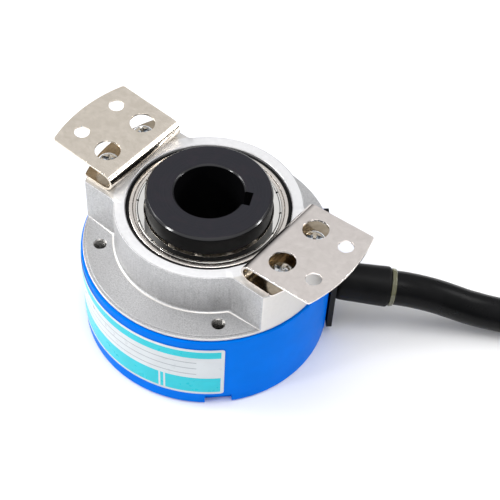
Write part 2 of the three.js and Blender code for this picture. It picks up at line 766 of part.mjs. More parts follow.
/** The outer shape of the coil: two turns on the floor and one in the valley between them. */
function coilEnvelope(grow) {
  const outer = TURN_R + 2 * CABLE_R + grow;
  const inner = TURN_R - 2 * CABLE_R - grow;
  const shoulder = CABLE_R * 1.1;
  const bottom = FIT_GAP - grow;
  const layer = LOWER_LAYER_TOP + grow;
  const top = CABLE_R * (2 + Math.sqrt(3)) + TURN_LOOSENESS + HUMP_HEIGHT + grow;
  return turned([
    [inner, bottom],
    [outer, bottom],
    [outer, layer],
    [TURN_R + shoulder, layer],
    [TURN_R + shoulder, top],
    [TURN_R - shoulder, top],
    [TURN_R - shoulder, layer],
    [inner, layer],
  ]).translate(coilCentre.x, coilCentre.y, 0);
}

/** Moves a geometry to the connector's place on the coil, its x axis pointing back along it. */
function onCoil(geometry) {
  const [x, y] = polar(TURN_R, CONNECTOR.angle);
  return geometry
    .translate(-CONNECTOR.past, 0, 0)
    .rotateZ(radians(CONNECTOR.angle + 90))
    .translate(coilCentre.x + x, coilCentre.y + y, 0);
}

/** The lead to the coil, the coil, and the connector lying on the coil's two lower turns. */
function cable() {
  const { length, width, height, corner } = CONNECTOR;
  const points = LEAD_ROUTE.map((point) => new THREE.Vector3(...point));
  const path = new THREE.CatmullRomCurve3(points, false, 'centripetal');
  const lead = cut(tube(path, CABLE_R, 22, 10), coilEnvelope(FACE_GAP));
  const clearHalf = length / 2 + 1;
  const clearance = onCoil(box(-clearHalf, clearHalf, -width, width, LOWER_LAYER_TOP, 40));
  const bottom = LOWER_LAYER_TOP + FACE_GAP;
  const outline = roundedRectangle(-length / 2, length / 2, -width / 2, width / 2, corner);
  const housing = onCoil(raised(outline, bottom, bottom + height, 3));
  return [
    part('cable_lead', lead, 0x151617, 0.55, 0),
    part('cable_coil', cut(coilEnvelope(0), clearance), 0x151617, 0.55, 0),
    part('cable_connector', housing, 0xdcdad2, 0.45, 0),
  ];
}

// ---- Assembly -----------------------------------------------------------------------------------

const encoder = new THREE.Group();
encoder.add(
  part('rear_cover', rearCover(), 0x0068e6, 0.35, 0),
  part('body_casting', bodyCasting(), 0xc3c5c7, 0.5, 0.8),
  sideLabel(),
  ...coverScrews(),
  bearingRings('front').outer,
  bearingRings('rear').outer,
  frontShield(),
  sealRing(),
  retainingRing(),
  part('main_board', mainBoard(), 0x1f6b3a, 0.5, 0),
  ...boardStandoffs(),
  ...boardScrews(),
  opticalParts(),
  ...boardParts(),
  ballCage('front'),
  ballCage('rear'),
  shaftAssembly(),
  leafSpring('right'),
  leafSpring('left'),
  ...springScrews(),
  glandPlate(),
  cableBoot(),
  bootEndRing(),
  ...cable(),
);

export default encoder;
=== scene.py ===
"""Hollow-shaft rotary encoder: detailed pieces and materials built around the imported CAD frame.

Lengths are in millimetres and angles in degrees, as in the CAD part, and become metres when a mesh is made.
+Z runs along the shaft, and the two leaf springs lie along X.
"""

import math

import bmesh
import bpy
from mathutils import Matrix, Vector


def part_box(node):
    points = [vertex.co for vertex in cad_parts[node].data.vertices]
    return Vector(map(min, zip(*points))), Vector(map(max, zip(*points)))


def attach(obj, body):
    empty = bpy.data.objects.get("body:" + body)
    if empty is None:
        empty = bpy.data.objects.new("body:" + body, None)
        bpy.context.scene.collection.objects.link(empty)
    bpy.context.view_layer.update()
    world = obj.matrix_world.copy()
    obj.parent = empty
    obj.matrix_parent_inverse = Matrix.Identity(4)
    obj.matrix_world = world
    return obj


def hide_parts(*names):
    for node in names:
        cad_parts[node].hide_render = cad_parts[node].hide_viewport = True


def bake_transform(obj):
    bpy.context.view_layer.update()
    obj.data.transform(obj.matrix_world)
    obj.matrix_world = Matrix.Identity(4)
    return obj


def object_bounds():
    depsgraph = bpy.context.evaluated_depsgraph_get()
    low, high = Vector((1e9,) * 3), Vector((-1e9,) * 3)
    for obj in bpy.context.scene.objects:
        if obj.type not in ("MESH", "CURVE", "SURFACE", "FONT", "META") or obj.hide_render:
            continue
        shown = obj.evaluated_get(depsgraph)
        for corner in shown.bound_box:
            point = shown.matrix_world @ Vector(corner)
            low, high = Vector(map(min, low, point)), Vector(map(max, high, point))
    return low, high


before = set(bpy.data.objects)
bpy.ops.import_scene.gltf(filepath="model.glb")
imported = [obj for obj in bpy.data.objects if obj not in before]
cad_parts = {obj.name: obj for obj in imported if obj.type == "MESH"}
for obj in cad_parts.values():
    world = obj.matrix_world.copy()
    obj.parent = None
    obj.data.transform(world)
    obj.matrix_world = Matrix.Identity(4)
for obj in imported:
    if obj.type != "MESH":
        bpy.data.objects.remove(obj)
cad_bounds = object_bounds()

MM = 0.001


def low(node):
    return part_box(node)[0] / MM


def high(node):
    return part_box(node)[1] / MM


# ---- Driving dimensions --------------------------------------------------------------------------

TURNED_SIDES = 224
UPRIGHT = Matrix(((0, 0, 1, 0), (1, 0, 0, 0), (0, 1, 0, 0), (0, 0, 0, 1)))  # sends X to Y, Y to Z, Z to X

CASE_R = high("rear_cover").x
CASE_TOP = high("rear_cover").z
CASE_FLOOR = 2
CASE_WALL = 2.6
SHAFT_OPENING_R = 11.2
RIM_NOTCH = {"angle": -45, "depth": 1.6, "half_width": 3.2, "height": 3}
COVER_SCREW_SEAT = {"hole_r": 1.6, "head_r": 2.7, "depth": 1.25}

FLANGE_R = 29.5
FLANGE_TOP = 25.2
FLANGE_UNDERSIDE = 21.6
LIP_THICK = 0.9
BOSS_R = 21.9
BOSS_TOP = high("body_casting").z
BOSS_FOOT = low("inner_spacer").z
ARM_HALF_WIDTH = 13.4
ARM_R = high("body_casting").x
ARM_FILLET = 1.6
SEAT_R = high("front_outer_ring").x
GROOVE_R = high("front_seal_ring").x + 0.05
GROOVE_DEPTH = 1.6
FLANGE_HOLE = {"circle": 25.4, "r": 1.3, "mouth": 1.55}
FLANGE_HOLE_ANGLES = (45, 135, 225, 315)
POST_CIRCLE = 24.6
POST_ANGLES = (100, 220, 340)

BORE_R = 8
COLLAR_R = high("hollow_shaft").x
COLLAR_TOP = high("hollow_shaft").z
KEY_WIDTH = 4
KEY_FLOOR_R = 9.85
KEY_ANGLE = 25
BEARING_WIDTH = 7

SHEET = 0.5
SPRING_HALF_WIDTH = high("right_spring_tab").y
SPRING_BOTTOM = low("right_spring_base").z
SPRING_TOP = high("right_spring_base").z
FOLD_R = (SPRING_TOP - SPRING_BOTTOM) / 2
FOLD_X = low("right_spring_base").x + FOLD_R
LOWER_LEAF_R = 30
UPPER_LEAF_R = 39.1
LEAF_TILT = 4
SCREW_X = 25.5
SCREW_Y = 6
ACCESS_HOLE = {"x": 25.75, "r": 3}
MOUNT_HOLE = {"x": 34, "y": 5.9, "r": 1.8}
SCREW_HOLE_R = 1.7

PLATE = {"angle": 43, "outer": 30.15, "thick": 1.3, "half_width": 10.6, "bottom": 2, "top": 22.5}
CABLE_R = 4.25
OUTLET_R = 4.2
EXIT = {"side": -3.8, "z": 12.4, "heading": 34, "slope": -4}
BOOT = {"root": 4.65, "end": 5.0, "length": 14.1}
END_RING = {"r": 4.7, "length": 1.0, "gap": 0.3}

# The cable's centre line from the boot to the place where it joins the coil.
LEAD_ROUTE = [
    (39.5, 27.8, 11.1),
    (42.8, 30.0, 10.43),
    (46.05, 32.15, 9.46),
    (49.2, 34.2, 8.2),
    (52.4, 36.25, 6.82),
    (55.6, 38.35, 5.74),
    (58.95, 40.45, 4.97),
    (62.3, 42.55, 4.53),
    (65.7, 44.65, 4.4),
    (72.5, 48.85, 4.4),
    (81.1, 53.95, 4.4),
    (90, 59.1, 4.4),
    (99, 64.3, 4.4),
    (108.5, 69.8, 4.4),
    (118.1, 75.3, 4.4),
]
JOIN_HEADING = 30
TURN_R = 50.5
CONNECTOR = {"length": 36, "width": 17, "height": 10, "angle": 325, "past": 12}

# ---- Making meshes -------------------------------------------------------------------------------


def polar(radius, angle, z=0.0):
    return Vector((radius * math.cos(math.radians(angle)), radius * math.sin(math.radians(angle)), z))


def smooth(t):
    t = min(max(t, 0.0), 1.0)
    return t * t * (3 - 2 * t)


def link(name, data):
    obj = bpy.data.objects.new(name, data)
    bpy.context.scene.collection.objects.link(obj)
    return obj


def made(name, bm, *looks, crease=32):
    """Turns a bmesh in millimetres into an object with these materials, smooth except at its creases."""
    bmesh.ops.remove_doubles(bm, verts=bm.verts, dist=1e-4)
    bmesh.ops.recalc_face_normals(bm, faces=bm.faces)
    bmesh.ops.scale(bm, vec=(MM, MM, MM), verts=bm.verts)
    mesh = bpy.data.meshes.new(name)
    bm.to_mesh(mesh)
    bm.free()
    for look in looks:
        mesh.materials.append(look)
    mesh.shade_smooth()
    mesh.set_sharp_from_angle(angle=math.radians(crease))
    return link(name, mesh)


def eased(corners, steps=4):
    """A closed outline whose corners (x, y, size) are rounded off; a corner without a size stays sharp."""
    points = []
    for i, corner in enumerate(corners):
        here = Vector(corner[:2])
        size = corner[2] if len(corner) > 2 else 0
        if not size:
            points.append(here)
            continue
        before = Vector(corners[i - 1][:2])
        after = Vector(corners[(i + 1) % len(corners)][:2])
        start = here + (before - here).normalized() * size
        end = here + (after - here).normalized() * size
        for step in range(steps + 1):
            t = step / steps
            points.append(start * (1 - t) ** 2 + here * (2 * t * (1 - t)) + end * t**2)
    return points


def lofted(loops, closed=False):
    """A bmesh of quads between loops of equally many points, each loop closed; closed joins last to first."""
    bm = bmesh.new()
    rows = [[bm.verts.new(point) for point in loop] for loop in loops]
    pairs = list(zip(rows, rows[1:])) + ([(rows[-1], rows[0])] if closed else [])
    for one, other in pairs:
        for i in range(len(one)):
            j = (i + 1) % len(one)
            bm.faces.new((one[i], one[j], other[j], other[i]))
    return bm


def turned(profile, sides=TURNED_SIDES):
    """A bmesh of a closed profile of (radius, height) corners turned about Z."""
    loops = [
        [polar(max(radius, 1e-5), 360 * i / sides, height) for i in range(sides)]
        for radius, height in eased(profile)
    ]
    return lofted(loops, closed=True)


def circle(radius, middle=(0, 0), sides=48):
    return [Vector(middle) + polar(radius, 360 * i / sides).xy for i in range(sides)]


def rounded_rectangle(x0, x1, y0, y1, corner):
    return eased([(x1, y1, corner), (x0, y1, corner), (x0, y0, corner), (x1, y0, corner)], 6)


def filled(outline, holes=(), cuts=()):
    """A flat bmesh of an outline with holes, divided along lines of constant x."""
    bm = bmesh.new()
    for loop in (outline, *holes):
        ring = [bm.verts.new((x, y, 0)) for x, y in loop]
        for i in range(len(ring)):
            bm.edges.new((ring[i - 1], ring[i]))
    bmesh.ops.triangle_fill(bm, use_beauty=True, edges=bm.edges[:], normal=(0, 0, 1))
    for x in cuts:
        everything = bm.verts[:] + bm.edges[:] + bm.faces[:]
        bmesh.ops.bisect_plane(bm, geom=everything, dist=1e-5, plane_co=(x, 0, 0), plane_no=(1, 0, 0))
    return bm


def raised(outline, bottom, top, holes=()):
    """A bmesh of a flat outline with holes, made thick between two heights."""
    bm = filled(outline, holes)
    bmesh.ops.translate(bm, vec=(0, 0, bottom), verts=bm.verts)
    result = bmesh.ops.extrude_face_region(bm, geom=bm.faces[:])
    upper = [item for item in result["geom"] if isinstance(item, bmesh.types.BMVert)]
    bmesh.ops.translate(bm, vec=(0, 0, top - bottom), verts=upper)
    return bm


def block(x0, x1, y0, y1, z0, z1):
    return raised([(x0, y0), (x1, y0), (x1, y1), (x0, y1)], z0, z1)


def moved(bm, matrix):
    bmesh.ops.transform(bm, matrix=matrix, verts=bm.verts)
    return bm


def placed(bm, x=0, y=0, z=0):
    return moved(bm, Matrix.Translation((x, y, z)))


def spun(bm, angle, axis="Z"):
    return moved(bm, Matrix.Rotation(math.radians(angle), 4, axis))


def refined(obj, *modifiers):
    """Applies (kind, settings) modifiers in turn to an object's mesh."""
    for kind, settings in modifiers:
        modifier = obj.modifiers.new(kind, kind)
        for key, value in settings.items():
            setattr(modifier, key, value)
    bpy.context.view_layer.update()
    evaluated = obj.evaluated_get(bpy.context.evaluated_depsgraph_get())
    mesh = bpy.data.meshes.new_from_object(evaluated)
    obj.modifiers.clear()
    obj.data = mesh
    return obj


def carved(obj, *tools):
    """Cuts bmeshes out of an object."""
    cutters = [made("cutter", tool) for tool in tools]
    for cutter in cutters:
        refined(obj, ("BOOLEAN", {"object": cutter, "operation": "DIFFERENCE", "solver": "EXACT"}))
        bpy.data.objects.remove(cutter)
    return obj


WEIGHTED = ("WEIGHTED_NORMAL", {"keep_sharp": True})


def bevelled(obj, width, segments=2, angle=40):
    """Gives every hard edge a small round of this width in millimetres."""
    bevel = {"width": width * MM, "segments": segments, "limit_method": "ANGLE",
             "angle_limit": math.radians(angle), "use_clamp_overlap": True}
    return refined(obj, ("BEVEL", bevel), WEIGHTED)


def even_shading(obj, crease=32):
    obj.data.set_sharp_from_angle(angle=math.radians(crease))
    return refined(obj, WEIGHTED)


def joined(name, *objects):
    """One object out of several, with all their materials."""
    target = objects[0]
    for other in objects[1:]:
        offset = len(target.data.materials)
        for look in other.data.materials:
            target.data.materials.append(look)
        bm = bmesh.new()
        bm.from_mesh(target.data)
        before = len(bm.faces)
        bm.from_mesh(other.data)
        bm.faces.ensure_lookup_table()
        for face in bm.faces[before:]:
            face.material_index += offset
        bm.to_mesh(target.data)
        bm.free()
        bpy.data.objects.remove(other)
    target.name = name
    return target


def stands_for(obj, slot, *nodes, body="housing"):
    """Puts a piece on its body and lets it take the place of CAD nodes; slot is not used."""
    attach(obj, body)
    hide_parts(*nodes)
    return obj


# ---- Materials -----------------------------------------------------------------------------------


class Look:
    """A material whose colour, gloss and relief come from procedural textures sized in millimetres."""

    def __init__(self, name, metallic=0.0):
        self.material = bpy.data.materials.new(name)
        self.material.use_nodes = True
        self.nodes = self.material.node_tree.nodes
        self.links = self.material.node_tree.links
        self.shader = self.nodes["Principled BSDF"]
        self.set("Metallic", metallic)
        place = self.nodes.new("ShaderNodeTexCoord").outputs["Object"]
        self.place = self.scaled(place, (1 / MM, 1 / MM, 1 / MM))

    def feed(self, socket, value):
        if isinstance(value, bpy.types.NodeSocket):
            self.links.new(value, socket)
        elif hasattr(value, "__len__") and socket.type == "RGBA" and len(value) == 3:
            socket.default_value = (*value, 1)
        else:
            socket.default_value = value

    def set(self, name, value):
        self.feed(self.shader.inputs[name], value)
        return self

    def node(self, kind, settings, inputs):
        node = self.nodes.new("ShaderNode" + kind)
        for key, value in settings.items():
            setattr(node, key, value)
        for key, value in inputs.items():
            self.feed(node.inputs[key], value)
        return node

    def scaled(self, place, scale):
        return self.node("VectorMath", {"operation": "MULTIPLY"}, {0: place, 1: scale}).outputs[0]

    def math(self, operation, a, b=0.0):
        return self.node("Math", {"operation": operation}, {0: a, 1: b}).outputs[0]

    def times(self, a, b):
        return self.math("MULTIPLY", a, b)

    def noise(self, size, detail=3.0, stretch=(1, 1, 1), distortion=0.0):
        """Noise with features of about this size, stretched along the axes."""
        place = self.scaled(self.place, tuple(1 / (size * s) for s in stretch))
        inputs = {"Vector": place, "Scale": 1.0, "Detail": detail, "Distortion": distortion}
        return self.node("TexNoise", {}, inputs).outputs["Fac"]

    def cells(self, size, feature="F1"):
        """Distance to the middle of the nearest of many random cells of this size."""
        inputs = {"Vector": self.place, "Scale": 1 / size}
        return self.node("TexVoronoi", {"feature": feature}, inputs).outputs["Distance"]

    def span(self, value, low_in=0.35, high_in=0.65, low_out=0, high_out=1):
        """Maps one range of a value onto another; as it stands, it brings out the middle of a noise."""
        inputs = {0: value, 1: low_in, 2: high_in, 3: low_out, 4: high_out}
        return self.node("MapRange", {}, inputs).outputs[0]

    def mix(self, share, a, b):
        return self.node("Mix", {"data_type": "RGBA"}, {0: share, 6: a, 7: b}).outputs[2]

    def colour(self, share, a, b):
        return self.set("Base Color", self.mix(share, a, b))

    def around(self):
        """Distance from the Z axis in millimetres, and the angle about it in radians."""
        x, y, _ = self.node("SeparateXYZ", {}, {0: self.place}).outputs
        squares = self.math("ADD", self.times(x, x), self.times(y, y))
        return self.math("SQRT", squares), self.math("ARCTAN2", y, x)

    def repeats(self, angle, count):
        """Runs from 0 to 1 this many times round the Z axis."""
        return self.math("FRACT", self.times(angle, count / (2 * math.pi)))

    def lathe_marks(self, pitch):
        """A wave along the distance from the Z axis."""
        return self.math("SINE", self.times(self.around()[0], 2 * math.pi / pitch))

    def rings(self, size):
        """Noise that changes only with the distance from the Z axis, as lathe marks do."""
        radius, _ = self.around()
        place = self.node("CombineXYZ", {}, {0: self.math("DIVIDE", radius, size)}).outputs[0]
        return self.node("TexNoise", {}, {"Vector": place, "Scale": 1.0, "Detail": 3.0}).outputs["Fac"]

    def tilt(self):
        """1 where the surface looks along +Z, 0 on walls."""
        normal = self.nodes.new("ShaderNodeTexCoord").outputs["Normal"]
        return self.node("SeparateXYZ", {}, {0: normal}).outputs[2]

    def vary_gloss(self, share, low_out, high_out):
        return self.set("Roughness", self.span(share, 0.3, 0.7, low_out, high_out))

    def relief(self, height, depth):
        """Raises the surface by depth millimetres where height is 1, on top of any relief it has."""
        normal = self.shader.inputs["Normal"]
        inputs = {"Height": height, "Distance": depth * MM, "Strength": 1.0}
        if normal.is_linked:
            inputs["Normal"] = normal.links[0].from_socket
        return self.set("Normal", self.node("Bump", {}, inputs).outputs["Normal"])


def moulded(name, colour, shade, gloss=(0.35, 0.45), grain=0.25, depth=0.006):
    """Moulded plastic: a fine even grain, a slow change of tone, and small scuffs in its gloss."""
    look = Look(name)
    look.colour(look.span(look.noise(9)), colour, shade)
    look.vary_gloss(look.noise(2.5, detail=6, distortion=1.0), *gloss)
    look.relief(look.noise(grain, detail=2), depth)
    return look.relief(look.noise(12, detail=1), depth * 4)


def blue_plastic():
    bright, deep = (0.0, 0.19, 0.86), (0.0, 0.175, 0.8)
    look = moulded("blue_plastic", bright, deep, gloss=(0.3, 0.36), grain=0.4, depth=0.002)
    return look.set("Specular IOR Level", 0.035).set("IOR", 1.3).material


def cast_aluminium():
    """Die-cast skin: a fine even grain, slow grey patches, and drag marks down the walls."""
    look = Look("cast_aluminium", metallic=0.75)
    specks = look.span(look.noise(0.3, detail=4), 0.38, 0.62, 0, 1)
    drawn = look.span(look.noise(0.5, detail=3, stretch=(1, 1, 9)))
    patches = look.span(look.noise(6, detail=4))
    grain = look.mix(specks, (0.37, 0.37, 0.375), (0.57, 0.57, 0.575))
    drag = look.mix(look.times(drawn, 0.3), grain, (0.66, 0.66, 0.66))
    look.colour(look.times(patches, 0.35), drag, (0.46, 0.46, 0.47))
    look.vary_gloss(look.noise(1.2, detail=4), 0.4, 0.54)
    look.relief(look.noise(0.45, detail=4), 0.022)
    return look.relief(look.span(look.cells(1.6), 0.0, 0.22, 0, 1), 0.012).material


def machined_face():
    """Faces cut in a lathe: fine circular marks, bright on the boss, darker and warmer on the arms as painted
    shade.
    """
    look = Look("machined_face", metallic=0.6)
    radius, _ = look.around()
    waver = look.noise(0.9, detail=4)
    boss = look.mix(waver, (0.82, 0.82, 0.83), (0.93, 0.93, 0.94))
    # Darker, warmer tone beyond the boss: on the arms' pads it is painted shade from the springs.
    arms = look.mix(waver, (0.66, 0.64, 0.61), (0.76, 0.74, 0.71))
    outer = look.span(radius, BOSS_R - 0.1, BOSS_R + 0.4, 0, 1)
    look.colour(outer, boss, arms)
    look.vary_gloss(waver, 0.3, 0.42)
    return look.relief(look.lathe_marks(0.16), 0.0012).material


def black_oxide():
    """Blackened steel: glossy ground ends, duller sides painted darker as shade, and a lighter, glossier
    chamfer band that is a painted highlight.
    """
    look = Look("black_oxide")
    facing = look.tilt()
    ground = look.span(facing, 0.8, 0.97, 0, 1)
    # A band on the chamfers, coloured lighter as a painted highlight and made glossier.
    edge = look.span(look.math("ABSOLUTE", look.math("SUBTRACT", facing, 0.7)), 0.05, 0.2, 1, 0)
    marks = look.span(look.rings(0.3))
    patches = look.span(look.noise(3.2, detail=5, distortion=0.8), 0.48, 0.72, 0, 1)
    tint = look.mix(look.noise(2.0, detail=3), (0.02, 0.014, 0.026), (0.022, 0.014, 0.013))
    ends = look.mix(look.times(patches, 0.7), (0.011, 0.011, 0.0155), tint)
    # The walls take a darker colour than the ground ends: painted shade.
    film = look.mix(ground, (0.0035, 0.0035, 0.004), look.mix(marks, ends, (0.016, 0.016, 0.021)))
    look.colour(edge, film, (0.02, 0.02, 0.022))
    dull = look.span(look.noise(1.5, detail=6), 0.3, 0.7, 0.3, 0.4)
    gloss = look.math("ADD", look.span(marks, 0, 1, 0.15, 0.2), look.span(patches, 0, 1, 0, 0.06))
    roughness = look.mix(ground, dull, gloss)
    look.set("Roughness", look.mix(edge, roughness, (0.14, 0.14, 0.14)))
    shine = look.span(ground, 0, 1, 0.05, 0.24)
    look.set("Specular IOR Level", look.math("ADD", shine, look.times(edge, 0.5)))
    look.relief(look.rings(0.12), 0.0012)
    return look.relief(look.noise(0.3, detail=3), 0.003).material


def ground_steel():
    """Bearing ring: ground satin, with a warm cast and hair-fine marks round the axis."""
    look = Look("ground_steel", metallic=1.0)
    look.colour(look.noise(4), (0.76, 0.71, 0.66), (0.86, 0.81, 0.76))
    look.vary_gloss(look.noise(1.1, detail=5), 0.2, 0.28)
    return look.relief(look.rings(0.2), 0.0008).material


def shield_steel():
    """Pressed bearing shield: polished sheet with a row of small crimps near its rim, coloured near black as
    painted shade in their dents.
    """
    crimps, crimp_circle, crimp_r = 16, 16.42, 0.28
    look = Look("shield_steel", metallic=1.0)
    radius, angle = look.around()
    across = look.math("SUBTRACT", look.repeats(angle, crimps), 0.5)
    along = look.times(across, 2 * math.pi * crimp_circle / crimps)
    out = look.math("SUBTRACT", radius, crimp_circle)
    squares = look.math("ADD", look.times(along, along), look.times(out, out))
    crimp_dent_and_shade = look.math("LESS_THAN", squares, crimp_r**2)
    steel = look.mix(look.noise(3, detail=4), (0.88, 0.87, 0.83), (0.96, 0.95, 0.92))
    # The crimps' near-black colour is painted shade in their dents; their relief is real.
    look.colour(crimp_dent_and_shade, steel, (0.015, 0.014, 0.013))
    look.vary_gloss(look.noise(0.8, detail=5), 0.03, 0.07)
    return look.relief(crimp_dent_and_shade, -0.05).material


def spring_steel(name, dark, light):
    """Cold-rolled stainless sheet: faint marks along the rolling direction under a warm mottle."""
    look = Look(name, metallic=1.0)
    rolling = look.noise(0.16, detail=3, stretch=(14, 1, 1))
    mottle = look.span(look.noise(2.2, detail=5, distortion=0.6), 0.35, 0.68, 0, 1)
    streak = tuple(0.9 * c for c in dark)
    colour = look.mix(mottle, dark, light)
    look.colour(look.span(rolling, 0.3, 0.7, 0, 0.35), colour, streak)
    look.vary_gloss(look.noise(1.6, detail=6), 0.12, 0.2)
    look.set("Anisotropic", 0.3)
    look.relief(rolling, 0.0016)
    return look.relief(look.noise(7, detail=2), 0.02).material


def zinc_steel():
    """Plated screws: bright, a little uneven, duller where a driver has touched."""
    look = Look("zinc_steel", metallic=1.0)
    look.colour(look.noise(1.2, detail=4), (0.66, 0.68, 0.7), (0.88, 0.9, 0.92))
    look.vary_gloss(look.noise(0.5, detail=5), 0.07, 0.18)
    return look.relief(look.noise(0.35, detail=3), 0.005).material


def turned_metal(name, dark, light):
    """A small turned part: fine rings about its axis and a slow change of tone."""
    look = Look(name, metallic=1.0)
    look.colour(look.noise(2.5, detail=4), dark, light)
    look.vary_gloss(look.noise(0.9, detail=5), 0.22, 0.36)
    look.relief(look.lathe_marks(0.2), 0.001)
    return look.relief(look.noise(0.3, detail=2), 0.003).material


def thread_aluminium():
    """The walls of tapped holes: dark grey mottled with lighter grey, the darkness painted shade inside the
    holes.
    """
    look = Look("thread_aluminium", metallic=0.9)
    # Dark colours stand for the shade inside the holes: painted shade.
    look.colour(look.noise(0.4, detail=4), (0.1, 0.095, 0.09), (0.4, 0.39, 0.37))
    look.vary_gloss(look.noise(0.3, detail=3), 0.2, 0.35)
    return look.relief(look.noise(0.2, detail=3), 0.01).material


def disc_glass():
    """Code disc: clear glass with a track of fine dark lines near its edge."""
    lines, track_in, track_out = 360, 16.4, 18.6
    look = Look("disc_glass")
    radius, angle = look.around()
    bar = look.math("GREATER_THAN", look.repeats(angle, lines), 0.5)
    inside = look.math("GREATER_THAN", radius, track_in)
    outside = look.math("LESS_THAN", radius, track_out)
    track = look.times(look.times(inside, outside), bar)
    glass = look.mix(look.noise(6), (0.62, 0.7, 0.72), (0.7, 0.78, 0.8))
    look.colour(track, glass, (0.03, 0.03, 0.035))
    look.set("Transmission Weight", look.math("SUBTRACT", 0.85, look.times(track, 0.8)))
    look.vary_gloss(look.noise(5), 0.04, 0.09)
    return look.material


def circuit_board():
    """Green solder mask over copper runs that show as lighter lines."""
    look = Look("circuit_board")
    runs = look.math("LESS_THAN", look.cells(2.6, "DISTANCE_TO_EDGE"), 0.05)
    mask = look.mix(look.noise(3, detail=3), (0.01, 0.11, 0.045), (0.015, 0.14, 0.06))
    look.colour(runs, mask, (0.04, 0.26, 0.11))
    look.vary_gloss(look.noise(1.4, detail=4), 0.2, 0.34)
    return look.relief(runs, 0.03).material


def rubber(name, colour, shade, gloss, grain, depth):
    """Soft black jacket: a fine orange-peel skin with slightly glossier rubbed places."""
    look = Look(name)
    look.colour(look.span(look.noise(6, detail=4)), colour, shade)
    look.vary_gloss(look.noise(4, detail=6, distortion=0.7), *gloss)
    look.relief(look.noise(grain, detail=3), depth)
    look.relief(look.noise(9, detail=2), depth * 6)
    return look.set("Specular IOR Level", 0.11).material


def tinted_film():
    """The thin clear olive ring that closes the boot."""
    look = Look("tinted_film")
    look.colour(look.noise(1.2, detail=3), (0.17, 0.17, 0.095), (0.4, 0.39, 0.25))
    look.set("Transmission Weight", 0.6)
    look.vary_gloss(look.noise(0.8), 0.05, 0.12)
    return look.relief(look.noise(0.7, detail=2), 0.02).material


def printed(name, colour):
    """Ink under the label's clear film: even colour, a slight haze and the film's own gloss."""
    look = Look(name)
    shade = tuple(c * 0.93 for c in colour)
    look.colour(look.span(look.noise(5, detail=3)), colour, shade)
    look.vary_gloss(look.noise(2.2, detail=5), 0.26, 0.36)
    look.relief(look.noise(8, detail=2), 0.012)
    return look.set("Specular IOR Level", 0.2).set("Coat Weight", 0.06).material


def wires():
    """A bundle of thin insulated wires: coloured strands side by side."""
    look = Look("wires")
    strand = look.span(look.noise(0.8, detail=0), 0.4, 0.6)
    colour = look.mix(strand, (0.5, 0.06, 0.05), (0.1, 0.25, 0.5))
    look.colour(look.noise(1.5, detail=1), colour, (0.6, 0.6, 0.62))
    look.relief(strand, 0.15)
    return look.vary_gloss(look.noise(1.0), 0.4, 0.55).material


# ---- Housing -------------------------------------------------------------------------------------


def paint(obj, index, test):
    """Gives the faces whose middle, in millimetres, passes the test another of the object's materials."""
    for face in obj.data.polygons:
        if test(face.center / MM):
            face.material_index = index
    return obj


def outlet_cutter():
    """A rod through the cover's wall and its pad, where the boot's neck passes."""
    inner_end, outer_end = 22, 32
    rod = spun(raised(circle(OUTLET_R), inner_end, outer_end), 90, "Y")
    return spun(placed(rod, 0, EXIT["side"], EXIT["z"]), PLATE["angle"])


def rear_cover(look):
    """The blue cup: shaft opening, plate recess, rim notch, and seats for the three screws."""
    inner_r = CASE_R - CASE_WALL
    section = [
        (SHAFT_OPENING_R, 0, 0.3),
        (CASE_R, 0, 0.6),
        (CASE_R, CASE_TOP, 0.3),
        (inner_r, CASE_TOP, 0.3),
        (inner_r, CASE_FLOOR, 0.5),
        (SHAFT_OPENING_R, CASE_FLOOR, 0.3),
    ]
    cup = made("rear_cover_shell", turned(section), look)
    play = 0.05
    pad_face = PLATE["outer"] - PLATE["thick"] - play
    half = PLATE["half_width"] + 0.3
    recess = block(pad_face, CASE_R + 2, -half, half, PLATE["bottom"] - 0.1, PLATE["top"] + 0.1)
    wide = RIM_NOTCH["half_width"]
    notch = block(CASE_R - RIM_NOTCH["depth"], CASE_R + 1, -wide, wide, -1, RIM_NOTCH["height"])
    tools = [spun(recess, PLATE["angle"]), outlet_cutter(), spun(notch, RIM_NOTCH["angle"])]
    for angle in POST_ANGLES:
        x, y, _ = polar(POST_CIRCLE, angle)
        tools.append(placed(raised(circle(COVER_SCREW_SEAT["hole_r"]), -1, CASE_FLOOR + 1), x, y))
        tools.append(placed(raised(circle(COVER_SCREW_SEAT["head_r"]), -1, COVER_SCREW_SEAT["depth"]), x, y))
    even_shading(carved(cup, *tools))
    pad_back, pad_front, pad_top = 25.6, CASE_R - 1.8, 20.6
    pad = block(pad_back, pad_front, -half, half, PLATE["bottom"] + 0.3, pad_top)
    pad = carved(made("rear_cover_pad", spun(pad, PLATE["angle"]), look), outlet_cutter())
    stands_for(joined("rear_cover_detail", cup, pad), "blue_plastic", "rear_cover")


def arc(middle, radius, start, end, steps):
    """The points of a round stretch of an outline, between two angles."""
    turns = [start + (end - start) * i / steps for i in range(steps + 1)]
    return [Vector(middle) + polar(radius, turn).xy for turn in turns]


def arm_outline():
    """One arm's half of the outline, from the middle of one side of the boss to the other."""
    fillet_y = ARM_HALF_WIDTH + ARM_FILLET
    fillet_x = math.sqrt((BOSS_R + ARM_FILLET) ** 2 - fillet_y**2)
    toward = math.degrees(math.atan2(fillet_y, fillet_x))
    end = math.degrees(math.asin(ARM_HALF_WIDTH / ARM_R))
    corner = polar(ARM_R, end)
    points = [*arc((0, 0), BOSS_R, -90, -toward, 28)]
    points += arc((fillet_x, -fillet_y), ARM_FILLET, 180 - toward, 90, 8)
    points += [(corner.x, -corner.y, 0.5)]
    points += arc((0, 0), ARM_R, -end, end, 36)[1:-1]
    points += [(corner.x, corner.y, 0.5)]
    points += arc((fillet_x, fillet_y), ARM_FILLET, -90, toward - 180, 8)
    points += arc((0, 0), BOSS_R, toward, 90, 28)[:-1]
    return [Vector(point) for point in eased([tuple(point) for point in points])]


